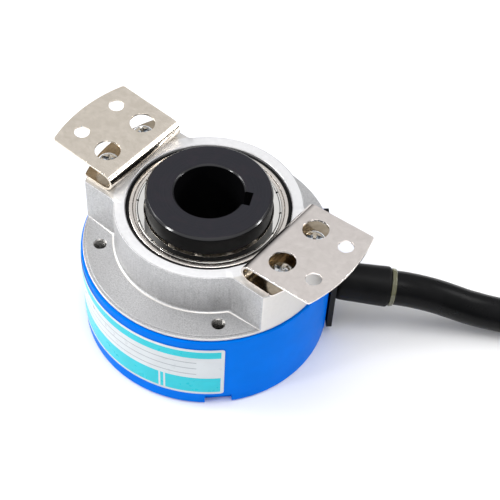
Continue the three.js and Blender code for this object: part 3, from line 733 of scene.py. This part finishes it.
def outward(outline, distance):
    """An outline moved along its own normals by distance(point)."""
    result = []
    for i, here in enumerate(outline):
        along = outline[(i + 1) % len(outline)] - outline[i - 1]
        normal = Vector((along.y, -along.x)).normalized()
        result.append(here + normal * distance(here))
    return result


def boss_and_arms(cast, machined):
    """The bearing boss with its two arms: a fillet round its foot, an eased top edge, the bearing's seat."""
    foot, edge = 0.7, 0.3
    half = arm_outline()
    outline = half + [-point for point in half]
    loops = []

    def walls(distance, z):
        kept = outward(outline, lambda p: distance * smooth((ARM_R - 0.3 - p.length) / 1.2))
        loops.append([Vector((p.x, p.y, z)) for p in kept])

    def bore(radius, z):
        loops.append([(p.normalized() * radius).to_3d() + Vector((0, 0, z)) for p in outline])

    walls(foot, FLANGE_TOP - 0.3)
    for step in range(7):
        turn = math.radians(90 * step / 6)
        walls(foot * (1 - math.sin(turn)), FLANGE_TOP + foot * (1 - math.cos(turn)))
    for inset, drop in ((0, edge), (0.08, 0.12), (edge, 0)):
        kept = outward(outline, lambda p, inset=inset: -inset)
        loops.append([Vector((p.x, p.y, BOSS_TOP - drop)) for p in kept])
    bore(GROOVE_R + 0.2, BOSS_TOP)
    bore(GROOVE_R, BOSS_TOP - 0.2)
    bore(GROOVE_R, BOSS_TOP - GROOVE_DEPTH)
    bore(SEAT_R, BOSS_TOP - GROOVE_DEPTH)
    bore(SEAT_R, BOSS_FOOT)
    bore(BOSS_R, BOSS_FOOT)
    bore(BOSS_R - 0.2, FLANGE_TOP - 0.5)
    boss = made("boss_and_arms", lofted(loops, closed=True), cast, machined)

    def skimmed_or_highlit(p):
        """True on the machined top face, bore and arms' ends, and on the lowest part of the foot's round as a
        painted highlight.
        """
        wall = GROOVE_R + 0.1 < p.xy.length < ARM_R - 0.15
        # The lowest part of the foot's round takes the lighter material as a painted highlight.
        return p.z > BOSS_TOP - 0.05 or p.z < FLANGE_TOP + 0.12 or not wall

    return even_shading(paint(boss, 1, skimmed_or_highlit))


def flange(cast, machined):
    """The flange's plate with its turned-down rim, over the spigot, with four holes through them."""
    rim_width, rim_drop, ease = 0.7, 0.25, 0.12
    middles = [polar(FLANGE_HOLE["circle"], angle).xy for angle in FLANGE_HOLE_ANGLES]
    holes = [circle(FLANGE_HOLE["mouth"], middle, 24) for middle in middles]
    inner = circle(BOSS_R - 1.5, sides=TURNED_SIDES)

    def layer(name, radius, bottom, top):
        bm = raised(circle(radius, sides=TURNED_SIDES), bottom, top, [inner, *holes])
        return made(name, bm, cast, machined)

    rim_top = FLANGE_TOP - rim_drop
    plate = bevelled(layer("flange_plate", FLANGE_R - rim_width, rim_top - 0.2, FLANGE_TOP), ease, 3)
    rim = bevelled(layer("flange_rim", FLANGE_R, FLANGE_TOP - LIP_THICK, rim_top), ease, 3)
    paint(rim, 1, lambda p: p.xy.length > FLANGE_R - 0.1)
    spigot_r = CASE_R - CASE_WALL - 0.2
    spigot = layer("flange_spigot", spigot_r, FLANGE_UNDERSIDE, FLANGE_TOP - LIP_THICK)
    return joined("flange", plate, rim, spigot)


def flange_gap_shadow_ring(look):
    """A thin black ring between the blue cup and the flange: painted shadow of the gap between them."""
    bottom, top = CASE_TOP, FLANGE_TOP - LIP_THICK
    inner, outer = CASE_R - CASE_WALL + 0.1, FLANGE_R - 0.2
    section = [(inner, bottom), (outer, bottom, 0.1), (outer, top, 0.1), (inner, top)]
    gap_shadow_ring = made("flange_gap_shadow_ring", turned(section), look)
    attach(gap_shadow_ring, "housing")


def thread(middle, look):
    """The wall of a tapped hole: one helical groove of triangular section, and its chamfered mouth."""
    pitch, depth, sides, rows = 0.5, 0.24, 24, 8
    bottom, top = FLANGE_UNDERSIDE, FLANGE_TOP - 0.25
    loops = []
    for row in range(int((top - bottom) / pitch * rows) + 1):
        z = bottom + pitch * row / rows
        loop = []
        for side in range(sides):
            phase = (z / pitch - side / sides) % 1
            groove = FLANGE_HOLE["r"] - 0.05 + depth * abs(2 * phase - 1)
            loop.append(polar(groove, 360 * side / sides, z) + middle.to_3d())
        loops.append(loop)
    mouth = [polar(FLANGE_HOLE["mouth"] + 0.05, 360 * i / sides, top + 0.12) for i in range(sides)]
    loops.append([point + middle.to_3d() for point in mouth])
    return made("thread", lofted(loops), look, crease=50)


def casting_post(angle, look):
    """A pillar that takes one of the rear cover's screws."""
    tip_r, root_r = 2.3, 2.6
    bottom, top = CASE_FLOOR + 0.05, FLANGE_UNDERSIDE + 0.5
    post = turned([(0, bottom), (tip_r, bottom, 0.3), (root_r, top), (0, top)], 48)
    return made("casting_post", placed(post, *polar(POST_CIRCLE, angle)), look)


def body_casting(cast, machined, threads):
    parts = [boss_and_arms(cast, machined), flange(cast, machined)]
    for angle in FLANGE_HOLE_ANGLES:
        parts.append(thread(polar(FLANGE_HOLE["circle"], angle).xy, threads))
    parts += [casting_post(angle, cast) for angle in POST_ANGLES]
    stands_for(joined("body_casting_detail", *parts), "cast_aluminium", "body_casting")


def side_label(inks):
    """The film round the cover: a white margin, two bands and plain rules, with rounded corners."""
    start, end = -165, -42.8
    bottom, height = 4.2, 17.4
    margin, corner, skin = 0.8, 0.75, 0.08
    inner = CASE_R + 0.12
    length = math.radians(end - start) * inner
    wide, narrow, pitch, line = 5.6, 2.4, 2.2, 0.28
    bands = [(margin, margin + wide), (height - margin - narrow, height - margin)]
    ruled_from = margin + wide + 1.4
    rules = [(ruled_from + pitch * i, ruled_from + pitch * i + line) for i in range(3)]
    rule_span = (0.08 * length, 0.9 * length)
    bars = [(0.76 * length + gap, 0.76 * length + gap + 0.45) for gap in (0, 1.2)]

    def ink(x, y):
        """0 for the white film, 1 for the coloured bands and 2 for the rules."""
        if margin < x < length - margin and any(a < y < b for a, b in bands):
            barred = y < height / 2 and any(a < x < b for a, b in bars)
            return 0 if barred else 1
        ruled = rule_span[0] < x < rule_span[1] and any(a < y < b for a, b in rules)
        return 2 if ruled else 0

    def drawn_in(x):
        """How far the rounded corners draw the long edges in at x."""
        near = min(x, length - x, corner)
        return corner - math.sqrt(corner**2 - (corner - near) ** 2)

    ends = [corner * (1 - math.cos(math.radians(15 * i))) for i in range(7)]
    columns = {*ends, *(length - x for x in ends), margin, length - margin, *rule_span}
    columns |= {length * i / 90 for i in range(2, 89)} | {x for bar in bars for x in bar}
    columns = sorted(columns)
    rows = sorted({0, height, *(y for stripe in (*bands, *rules) for y in stripe)})
    bm = bmesh.new()
    grid = []
    for x in columns:
        inset = drawn_in(x)
        angle = start + math.degrees(x / inner)
        levels = [bottom + min(max(y, inset), height - inset) for y in rows]
        grid.append([bm.verts.new(polar(inner + skin / 2, angle, z)) for z in levels])
    for i in range(len(columns) - 1):
        for j in range(len(rows) - 1):
            face = bm.faces.new((grid[i][j], grid[i + 1][j], grid[i + 1][j + 1], grid[i][j + 1]))
            face.material_index = ink((columns[i] + columns[i + 1]) / 2, (rows[j] + rows[j + 1]) / 2)
    label = made("side_label_film", bm, *inks)
    refined(label, ("SOLIDIFY", {"thickness": skin * MM, "offset": 0}))
    stands_for(label, "label_film", "side_label")


# ---- Screws --------------------------------------------------------------------------------------


def cross_recess(reach, width, top, depth):
    """The two wings of a tapered cross, which are cut out of a screw's head for the driver."""
    above, tip_size = 0.5, 0.45
    tools = []
    for angle in (0, 90):
        upper = [(-reach, -width / 2), (reach, -width / 2), (reach, width / 2), (-reach, width / 2)]
        loops = []
        for z, size in ((top - depth, tip_size), (top, 1.0), (top + above, 1.0)):
            loops.append([Vector((x * size, y * (0.6 + 0.4 * size), z)) for x, y in upper])
        wing = lofted(loops)
        for z in (top - depth, top + above):
            rim = [v for v in wing.verts if abs(v.co.z - z) < 1e-6]
            bmesh.ops.contextual_create(wing, geom=rim)
        tools.append(spun(wing, angle))
    return tools


def screw_with_head(name, profile, recess, turn, look):
    """A turned screw with a cross recess; profile is its (radius, height) outline, from the tip up."""
    obj = made(name, turned(profile, 64), look)
    carved(obj, *[spun(tool, turn) for tool in recess])
    return even_shading(obj, 28)


def spring_screws(look):
    """Four pan-head screws, each stopped at a different turn."""
    seat = SPRING_BOTTOM + SHEET + 0.05
    shank_r, head_r, tip = 1.4, 2.75, -6.9
    profile = [(0, tip), (shank_r - 0.5, tip, 0.3), (shank_r, tip + 0.7, 0.2), (shank_r, 0),
               (head_r, 0, 0.25), (head_r, 0.95, 0.5), (1.9, 1.82, 0.6), (0, 2.0)]
    for i, turn in enumerate((34, 8, 62, 21)):
        recess = cross_recess(1.85, 0.85, 1.98, 1.3)
        obj = screw_with_head(f"spring_screw_head_{i + 1}", profile, recess, turn, look)
        side = 1 if i < 2 else -1
        obj.location = Vector((side * SCREW_X, SCREW_Y if i % 2 == 0 else -SCREW_Y, seat)) * MM
        stands_for(obj, "zinc_steel", f"spring_screw_{i + 1}")


def cover_screws(look):
    """Three flat-headed screws sunk in the cover's floor, seen from below."""
    shank_r, head_r, tip, under_head = 1.05, 2.5, -7.1, -1.05
    profile = [(0, tip), (0.7, tip, 0.2), (shank_r, tip + 0.5, 0.1), (shank_r, under_head),
               (head_r, under_head, 0.1), (head_r, 0, 0.15), (0, 0)]
    for i, angle in enumerate(POST_ANGLES):
        recess = cross_recess(1.4, 0.55, -0.02, 0.85)
        obj = screw_with_head(f"cover_screw_head_{i + 1}", profile, recess, 25 + 41 * i, look)
        obj.rotation_euler.x = math.pi
        obj.location = polar(POST_CIRCLE, angle, 0.15) * MM
        stands_for(obj, "zinc_steel", f"cover_screw_{i + 1}")


# ---- Bearing and shaft ---------------------------------------------------------------------------


def front_outer_ring(look):
    """The outer ring: a chamfered face, a step that holds the shield, and the balls' groove."""
    bottom, top = low("front_outer_ring").z, high("front_outer_ring").z
    outside, inside = SEAT_R, 16.8
    ring = turned([
        (inside, bottom, 0.2),
        (outside, bottom, 0.4),
        (outside, top - 0.3, 0.1),
        (outside - 0.25, top, 0.1),
        (inside + 0.68, top, 0.12),
        (inside + 0.55, top - 0.3, 0.05),
        (inside, top - 0.36, 0.05),
        (inside, bottom + 5.4),
        (inside + 0.9, bottom + 3.5),
        (inside, bottom + 1.6),
    ])
    stands_for(made("front_outer_ring_detail", ring, look), "bearing_steel", "front_outer_ring")


def seal_ring(look):
    """The black rubber ring in the boss's groove; its lip covers the outer ring's chamfer."""
    bottom, top = low("front_seal_ring").z, high("front_seal_ring").z
    inside, outside = SEAT_R + 0.02, high("front_seal_ring").x
    ring = turned([
        (inside, bottom, 0.1),
        (outside, bottom, 0.15),
        (outside, top - 0.1, 0.2),
        (outside - 0.4, top + 0.15, 0.2),
        (inside - 0.15, top + 0.12, 0.1),
        (inside, top - 0.6),
    ])
    stands_for(made("front_seal_ring_detail", ring, look), "boot_rubber", "front_seal_ring")


def front_shield(look):
    """A flat polished washer, its rim rolled into the outer ring's groove."""
    top = high("front_bearing_shield").z
    inside, outside = 14.85, 16.75
    bottom, rim, face = top - 0.3, top + 0.08, top - 0.04
    shield = turned([
        (inside, bottom, 0.05),
        (outside, bottom, 0.05),
        (outside, rim, 0.08),
        (outside - 0.35, rim, 0.12),
        (outside - 0.5, face, 0.06),
        (inside + 0.1, face, 0.05),
        (inside, top - 0.1),
    ])
    stands_for(made("front_shield_detail", shield, look), "bearing_shield", "front_bearing_shield")


def hollow_shaft(look):
    """The through shaft with its chamfered collar and a keyway along the bore."""
    tail_r, clip_r, journal_r = 10.6, 11.6, 12.5
    tail = low("hollow_shaft").z
    disc_seat = low("code_disc").z - 1.2
    shoulder = high("shaft_clip").z + 0.05
    neck = low("front_inner_ring").z + BEARING_WIDTH + 0.05
    chamfer, mouth = 0.55, 0.4
    profile = [
        (BORE_R, tail, 0.2),
        (tail_r, tail, 0.2),
        (tail_r, disc_seat),
        (clip_r, disc_seat, 0.1),
        (clip_r, shoulder),
        (journal_r, shoulder, 0.1),
        (journal_r, neck),
        (COLLAR_R, neck, 0.2),
        (COLLAR_R, COLLAR_TOP - chamfer, 0.16),
        (COLLAR_R - chamfer, COLLAR_TOP, 0.16),
        (BORE_R + mouth, COLLAR_TOP, 0.12),
        (BORE_R, COLLAR_TOP - mouth, 0.12),
    ]
    shaft = made("hollow_shaft_detail", turned(profile), look)
    half = KEY_WIDTH / 2
    keyway = spun(block(BORE_R - 2, KEY_FLOOR_R, -half, half, -1, COLLAR_TOP + 1), KEY_ANGLE)
    even_shading(carved(shaft, keyway))
    stands_for(shaft, "black_oxide_steel", "hollow_shaft", body="shaft")


def ball_cages(look):
    """Twelve balls in a ribbon cage, for each bearing."""
    pitch, ball, count = 15.5, 1.65, 12
    for place in ("front", "rear"):
        node = f"{place}_ball_cage"
        middle = (low(node).z + high(node).z) / 2
        corners = ((-0.5, -0.6), (0.5, -0.6), (0.5, 0.6), (-0.5, 0.6))
        bm = turned([(pitch + out, middle + up, 0.1) for out, up in corners], 96)
        for i in range(count):
            spot = Matrix.Translation(polar(pitch, 360 * i / count, middle))
            bmesh.ops.create_uvsphere(bm, u_segments=24, v_segments=16, radius=ball, matrix=spot)
        stands_for(made(f"{place}_balls_detail", bm, look), "ball_cage", node, body=f"{place}_balls")


# ---- Leaf springs --------------------------------------------------------------------------------


def leaf_spring(side, outside, inside):
    """One sheet cut flat with its holes, then folded back over itself into a U that opens outward."""
    middle_r = FOLD_R - SHEET / 2
    fold = math.radians(180 - LEAF_TILT) * middle_r
    centre = Vector((FOLD_X, SPRING_BOTTOM + FOLD_R))

    def end(radius, start, finish):
        half = math.degrees(math.asin(SPRING_HALF_WIDTH / radius))
        return arc((0, 0), radius, start * half, finish * half, 24)

    def on_sheet(x, upper=True):
        """Distance along the flat sheet, from the start of the fold, to x on one of the leaves."""
        return x - FOLD_X + fold if upper else FOLD_X - x

    def bent(along):
        """The middle of the folded sheet in the plane across the fold."""
        turn = min(max(along, 0), fold) / middle_r
        spot = centre + polar(middle_r, 270 - math.degrees(turn)).xy
        if along < 0:
            return spot + Vector((-along, 0))
        return spot + polar(max(along - fold, 0), LEAF_TILT).xy

    upper = [(on_sheet(p.x), p.y) for p in end(UPPER_LEAF_R, -1, 1)]
    lower = [(on_sheet(p.x, False), p.y) for p in end(LOWER_LEAF_R, 1, -1)]
    corners = [(*p, 0.5) if p in (leaf[0], leaf[-1]) else p for leaf in (upper, lower) for p in leaf]
    holes = []
    for y in (1, -1):
        holes.append(circle(ACCESS_HOLE["r"], (on_sheet(ACCESS_HOLE["x"]), y * SCREW_Y)))
        holes.append(circle(MOUNT_HOLE["r"], (on_sheet(MOUNT_HOLE["x"]), y * MOUNT_HOLE["y"])))
        holes.append(circle(SCREW_HOLE_R, (on_sheet(SCREW_X, False), y * SCREW_Y)))
    bm = filled(eased(corners), holes, [fold * i / 20 for i in range(21)])
    for vert in bm.verts:
        x, z = bent(vert.co.x)
        vert.co = (x, vert.co.y, z)
    spring = made(f"{side}_spring", spun(bm, 0 if side == "right" else 180), outside, inside)
    # The solidified copy takes the second material, whose darker colour is painted shade on the inner faces
    # of the U.
    sheet = {"thickness": SHEET * MM, "offset": 0, "use_even_offset": True, "material_offset": 1}
    refined(spring, ("SOLIDIFY", sheet))
    spring.data.set_sharp_from_angle(angle=math.radians(32))
    bevelled(spring, 0.05, angle=50)
    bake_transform(spring)
    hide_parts(f"{side}_spring_base", f"{side}_spring_tab")


# ---- Cable outlet and cable ----------------------------------------------------------------------

OUTLET_TURN = Matrix.Rotation(math.radians(PLATE["angle"]), 3, "Z")
EXIT_POINT = OUTLET_TURN @ Vector((PLATE["outer"], EXIT["side"], EXIT["z"]))
EXIT_SLOPE = math.radians(EXIT["slope"])
EXIT_DIRECTION = polar(math.cos(EXIT_SLOPE), EXIT["heading"], math.sin(EXIT_SLOPE))


def along_exit(bm):
    """Moves a bmesh made along +Z from the origin onto the cable's line out of the plate."""
    turn = Vector((0, 0, 1)).rotation_difference(EXIT_DIRECTION).to_matrix().to_4x4()
    return moved(bm, Matrix.Translation(EXIT_POINT) @ turn)


def gland_plate(look):
    """The flat plate that closes the cover's recess round the boot."""
    half, outer, hole_r = PLATE["half_width"], PLATE["outer"], 3.9
    outline = rounded_rectangle(-half, half, PLATE["bottom"], PLATE["top"], 0.4)
    bm = raised(outline, outer - PLATE["thick"], outer, [circle(hole_r, (EXIT["side"], EXIT["z"]))])
    plate = made("gland_plate_detail", spun(moved(bm, UPRIGHT), PLATE["angle"]), look)
    stands_for(bevelled(plate, 0.15), "black_plastic", "gland_plate")


def cable_boot(look):
    """The boot: a sleeve with a rounded root, a little wider at its end, and its neck through the plate."""
    root, end, length = BOOT["root"], BOOT["end"], BOOT["length"]
    sleeve = turned([
        (CABLE_R - 0.1, -0.6),
        (root - 1.3, -0.6),
        (root - 1.1, 0.2, 0.5),
        (root, 1.5, 0.9),
        (end, length - 0.5, 0.35),
        (end - 0.35, length, 0.25),
        (CABLE_R - 0.1, length, 0.1),
    ], 96)
    boot = made("boot_sleeve", along_exit(sleeve), look)
    neck_r, stop_r = 3.8, 4.8
    start, stop, finish = 24.3, 25.3, 30.2
    neck = turned([(0, start), (stop_r, start, 0.3), (stop_r, stop, 0.3), (neck_r, stop), (neck_r, finish),
                   (0, finish)], 64)
    placed(spun(neck, 90, "Y"), 0, EXIT["side"], EXIT["z"])
    neck = made("boot_neck", spun(neck, PLATE["angle"]), look)
    stands_for(joined("cable_boot_detail", boot, neck), "boot_rubber", "cable_boot")


def boot_end_ring(look):
    """The clear ring between the boot's end and the bare cable."""
    inner_r, outer_r = CABLE_R + 0.02, END_RING["r"]
    start = BOOT["length"] + END_RING["gap"] / 2
    end = BOOT["length"] + END_RING["gap"] + END_RING["length"]
    section = [(inner_r, start, 0.1), (outer_r, start, 0.2), (outer_r - 0.1, end, 0.3), (inner_r, end, 0.1)]
    ring = made("boot_end_ring_detail", along_exit(turned(section, 96)), look)
    stands_for(ring, "clear_ring", "boot_end_ring")


COIL_CENTRE = Vector(LEAD_ROUTE[-1][:2]) + polar(TURN_R + CABLE_R, JOIN_HEADING - 90).xy
SHIFT_START = 0.765  # turns after which the cable moves from the outer turn to the inner one
CLIMB_START = 1.53  # turns after which it climbs into the valley between the two
CLIMB_END = 1.765
TAIL_START = 2.2  # turns after which it rises towards the connector
ENTRY_X = CONNECTOR["length"] / 2 - CONNECTOR["past"]  # where it meets the connector, along the winding
ENTRY_Z = low("cable_connector").z + CONNECTOR["height"] / 2
ENTRY_TURN = 3 + (JOIN_HEADING + 90 - CONNECTOR["angle"]) / 360 - math.atan(ENTRY_X / TURN_R) / (2 * math.pi)


def coil_point(turns):
    """The cable's centre after so many clockwise turns: one outside, one inside, one in the valley on top."""
    outer, apart, floor = TURN_R + CABLE_R, 2 * CABLE_R, CABLE_R + 0.15
    radius = outer - apart * smooth((turns - SHIFT_START) / (1 - SHIFT_START))
    z = floor
    if turns > CLIMB_START:
        climb = math.radians(60) * smooth((turns - CLIMB_START) / (CLIMB_END - CLIMB_START))
        radius, z = outer - apart * math.cos(climb), floor + apart * math.sin(climb)
    if turns > CLIMB_END:
        below = outer - apart * smooth((turns - 1 - SHIFT_START) / (1 - SHIFT_START))
        below = below if turns < 2 else outer
        z = floor + math.sqrt(apart**2 - (TURN_R - below) ** 2)
    if turns > TAIL_START:
        t = (turns - TAIL_START) / (ENTRY_TURN - TAIL_START)
        run = 2 * math.pi * TURN_R * (ENTRY_TURN - TAIL_START)
        swing = ENTRY_X / TURN_R * run * t * t * (1 - t)
        radius += swing + (math.hypot(TURN_R, ENTRY_X) - TURN_R) * smooth(t)
        z += (ENTRY_Z - z) * smooth(t)
    return COIL_CENTRE.to_3d() + polar(radius, JOIN_HEADING + 90 - 360 * turns, z)


def on_coil(x, y, z):
    """A point of the frame whose x axis points back along the winding where the connector touches it."""
    turn = Matrix.Rotation(math.radians(CONNECTOR["angle"] + 90), 3, "Z")
    return COIL_CENTRE.to_3d() + polar(TURN_R, CONNECTOR["angle"]) + turn @ Vector((x, y, z))


def cable_route():
    """From inside the boot along the floor, round the coil, and up into the connector."""
    steps, plugged_in = 40, 6
    inside_boot = [EXIT_POINT + EXIT_DIRECTION * distance for distance in (8, 12, 15.2)]
    coil = [coil_point(ENTRY_TURN * i / steps) for i in range(1, steps + 1)]
    return [*inside_boot, *map(Vector, LEAD_ROUTE), *coil, on_coil(ENTRY_X - plugged_in, 0, ENTRY_Z)]


def cable(look, connector):
    """The whole cable as one smooth curve."""
    curve = bpy.data.curves.new("cable_curve", "CURVE")
    curve.dimensions = "3D"
    curve.bevel_depth = CABLE_R * MM
    curve.bevel_resolution = 8
    curve.resolution_u = 10
    curve.use_fill_caps = True
    spline = curve.splines.new("BEZIER")
    route = [place * MM for place in cable_route()]
    steps = [after - before for before, after in zip(route, route[1:])]
    spline.bezier_points.add(len(route) - 1)
    for point, place, come, go in zip(spline.bezier_points, route, [steps[0], *steps], [*steps, steps[-1]]):
        along = (come / come.length_squared + go / go.length_squared).normalized()
        point.handle_left_type = point.handle_right_type = "FREE"
        point.co = place
        point.handle_left = place - along * come.length / 3
        point.handle_right = place + along * go.length / 3
    curve.materials.append(look)
    line = link("cable", curve)
    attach(line, "housing")
    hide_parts("cable_lead", "cable_coil")


def cable_connector(shell, metal, black):
    """A plug with ribbed grips, a latch, a clamp round the cable, and two rows of pins in its mouth."""
    half, side, height = CONNECTOR["length"] / 2, CONNECTOR["width"] / 2, CONNECTOR["height"]
    wall, grip_pitch, grip_depth = 1.3, 2.2, 0.45
    latch_half, pin_half = 2.6, 0.35
    outline = rounded_rectangle(-half, half - 5, -side, side, 1.2)
    body = made("connector_body", raised(outline, 0, height), shell)
    mouth = block(-half - 1, -half + 9, -side + wall, side - wall, wall, height - wall)
    grips = []
    for i in range(6):
        start = -2 + grip_pitch * i
        for face in (side, -side):
            grips.append(block(start, start + 1, face - grip_depth, face + grip_depth, 1.5, height - 1.5))
    bevelled(carved(body, mouth, *grips), 0.3)
    clamp = raised(rounded_rectangle(-5.6, 5.6, 0.2, height - 0.2, 2), half - 5.2, half)
    tongue = block(-half + 2, half - 9, -latch_half, latch_half, height - 0.4, height + 0.55)
    hook = block(-half + 2, -half + 4, -latch_half, latch_half, height, height + 1.1)
    parts = [
        bevelled(made("connector_clamp", moved(clamp, UPRIGHT), black), 0.5, 3),
        bevelled(made("connector_latch", tongue, shell), 0.35),
        bevelled(made("connector_catch", hook, shell), 0.35),
    ]
    for row in (-1, 1):
        for i in range(5):
            y, z = (i - 2) * 2.9, height / 2 + row * 1.5
            pin = block(-half + 1.5, -half + 10, y - pin_half, y + pin_half, z - pin_half, z + pin_half)
            parts.append(bevelled(made("connector_pin", pin, metal), 0.12))
    plug = joined("connector_plug", body, *parts)
    bottom = low("cable_connector").z
    turn = Matrix.Rotation(math.radians(CONNECTOR["angle"] + 90), 4, "Z")
    plug.data.transform(Matrix.Translation(on_coil(-CONNECTOR["past"], 0, bottom) * MM) @ turn)
    return stands_for(plug, "white_plastic", "cable_connector")


# ---- Parts inside the housing --------------------------------------------------------------------


def dress_inner_parts(looks):
    """Gives each CAD part that stays as it is a material of its kind."""
    wearing = {
        "ground_steel": ("rear_outer_ring", "front_inner_ring", "rear_inner_ring"),
        "black_oxide": ("bearing_retaining_ring", "shaft_clip"),
        "turned_aluminium": ("inner_spacer", "disc_hub", "disc_clamp_ring"),
        "brass": [f"board_standoff_{i}" for i in (1, 2, 3)],
        "zinc": [f"board_screw_{i}" for i in (1, 2, 3)],
        "board": ("main_board",),
        "glass": ("code_disc", "mask_plate"),
        "component": ("detector_block", "light_source", "signal_chip"),
        "header": ("wire_header",),
        "wires": ("wire_bundle",),
    }
    for look, nodes in wearing.items():
        for node in nodes:
            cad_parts[node].data.materials[0] = looks[look]


# ---- Studio --------------------------------------------------------------------------------------


def camera():
    """Seen from the front right and above, rolled a little to the side."""
    target, distance, focal_length = Vector((6.22, 8.46, 17.67)), 299.66, 88.98
    turn, rise, roll = (math.radians(angle) for angle in (36.0, 50.02, 3.49))
    back = Vector((math.sin(turn) * math.cos(rise), -math.cos(turn) * math.cos(rise), math.sin(rise)))
    right = Vector((math.cos(turn), math.sin(turn), 0))
    up = back.cross(right)
    rolled_right = right * math.cos(roll) + up * math.sin(roll)
    rolled_up = up * math.cos(roll) - right * math.sin(roll)
    data = bpy.data.cameras.new("camera")
    data.lens = focal_length
    data.sensor_width = 36
    data.clip_start = 0.01
    axes = Matrix((rolled_right, rolled_up, back)).transposed()
    eye = link("camera", data)
    eye.matrix_world = Matrix.Translation((target + back * distance) * MM) @ axes.to_4x4()
    bpy.context.scene.camera = eye


def soft_light(name, place, width, power):
    """A square soft box at a place in millimetres, facing the middle of the object."""
    target = Vector((0, 0, 20))
    data = bpy.data.lights.new(name, "AREA")
    data.size = width * MM
    data.energy = power
    lamp = link(name, data)
    lamp.location = Vector(place) * MM
    lamp.rotation_euler = (target - Vector(place)).to_track_quat("-Z", "Y").to_euler()


def studio():
    """A white floor under a dome that darkens to the horizon, three soft boxes and two edge lamps."""
    floor = bpy.data.materials.new("floor_paper")
    floor.use_nodes = True
    paper = floor.node_tree.nodes["Principled BSDF"]
    paper.inputs["Base Color"].default_value = (0.96, 0.96, 0.96, 1)
    paper.inputs["Roughness"].default_value = 0.9
    paper.inputs["Specular IOR Level"].default_value = 0.1
    mesh = bpy.data.meshes.new("floor")
    reach = 3.0  # metres
    corners = [(-reach, -reach, 0), (reach, -reach, 0), (reach, reach, 0), (-reach, reach, 0)]
    mesh.from_pydata(corners, [], [(0, 1, 2, 3)])
    mesh.materials.append(floor)
    plane = link("floor", mesh)
    gap_below = 0.2 * MM
    plane.location.z = cad_bounds[0][2] - gap_below

    world = bpy.data.worlds.new("dome")
    bpy.context.scene.world = world
    world.use_nodes = True
    nodes, links = world.node_tree.nodes, world.node_tree.links
    height = nodes.new("ShaderNodeSeparateXYZ")
    links.new(nodes.new("ShaderNodeTexCoord").outputs["Generated"], height.inputs[0])
    ramp = nodes.new("ShaderNodeValToRGB")
    stops = ((0.0, (0.07, 0.07, 0.073, 1)), (0.75, (0.86, 0.86, 0.87, 1)))
    for element, (position, colour) in zip(ramp.color_ramp.elements, stops):
        element.position = position
        element.color = colour
    links.new(height.outputs["Z"], ramp.inputs[0])
    links.new(ramp.outputs[0], nodes["Background"].inputs["Color"])
    nodes["Background"].inputs["Strength"].default_value = 0.9

    soft_light("key", (-635, -250, 520), 420, 4.1)
    soft_light("top", (120, -60, 900), 420, 2.4)
    soft_light("rim", (380, 520, 480), 300, 1.2)
    soft_light("front_spark", (-265, -536, 364), 90, 0.9)
    soft_light("back_spark", (536, 364, 265), 90, 0.75)


# ---- Assembly ------------------------------------------------------------------------------------


def build():
    cast, machined = cast_aluminium(), machined_face()
    zinc = zinc_steel()
    oxide = black_oxide()
    ground = ground_steel()
    # One steel in two tones, each matched to how light falls on that spring: lit and shaded copies of one
    # material.
    sheet_tones_by_light = {
        "left": spring_steel("left_spring_steel", (0.755, 0.685, 0.59), (0.86, 0.785, 0.685)),
        "right": spring_steel("right_spring_steel", (0.84, 0.78, 0.74), (0.92, 0.86, 0.82)),
    }
    jet, soot = (0.0035, 0.0037, 0.004), (0.006, 0.006, 0.0065)
    black = moulded("black_plastic", (0.006, 0.006, 0.0065), (0.011, 0.011, 0.012), gloss=(0.38, 0.5))
    black.set("Specular IOR Level", 0.14)
    nylon = moulded("white_nylon", (0.55, 0.53, 0.48), (0.62, 0.6, 0.55), gloss=(0.38, 0.5))
    brass = turned_metal("turned_brass", (0.62, 0.42, 0.16), (0.78, 0.58, 0.27))

    camera()
    studio()
    jacket = rubber("cable_jacket", jet, soot, gloss=(0.26, 0.34), grain=0.45, depth=0.008)
    cable(jacket, cable_connector(nylon.material, brass, black.material))

    rear_cover(blue_plastic())
    body_casting(cast, machined, thread_aluminium())
    white = printed("label_white", (0.7, 0.735, 0.76))
    cyan = printed("label_cyan", (0.012, 0.6, 0.7))
    grey = printed("label_rule", (0.4, 0.43, 0.47))
    side_label((white, cyan, grey))
    spring_screws(zinc)
    cover_screws(zinc)
    front_outer_ring(ground)
    front_shield(shield_steel())
    ball_cages(turned_metal("ball_steel", (0.6, 0.58, 0.52), (0.8, 0.79, 0.76)))
    hollow_shaft(oxide)
    # Darker steel for the inner faces of the U: painted shade between the leaves.
    inside = spring_steel("spring_inside_painted_shade", (0.36, 0.3, 0.22), (0.5, 0.43, 0.34))
    for side, sheet in sheet_tones_by_light.items():
        leaf_spring(side, sheet, inside)
    gland_plate(black.material)
    soft = rubber("boot_rubber", jet, soot, gloss=(0.4, 0.5), grain=0.3, depth=0.008)
    cable_boot(soft)
    # A black ring standing for the shadow in the gap under the flange: painted shadow.
    flange_gap_shadow_ring(soft)
    seal_ring(soft)
    boot_end_ring(tinted_film())
    dress_inner_parts({
        "ground_steel": ground,
        "black_oxide": oxide,
        "turned_aluminium": turned_metal("turned_aluminium", (0.7, 0.7, 0.71), (0.84, 0.84, 0.85)),
        "brass": brass,
        "zinc": zinc,
        "board": circuit_board(),
        "glass": disc_glass(),
        "component": moulded("black_component", (0.02, 0.02, 0.022), (0.03, 0.03, 0.032)).material,
        "header": nylon.material,
        "wires": wires(),
    })


bpy.context.scene.view_settings.view_transform = "Standard"
build()
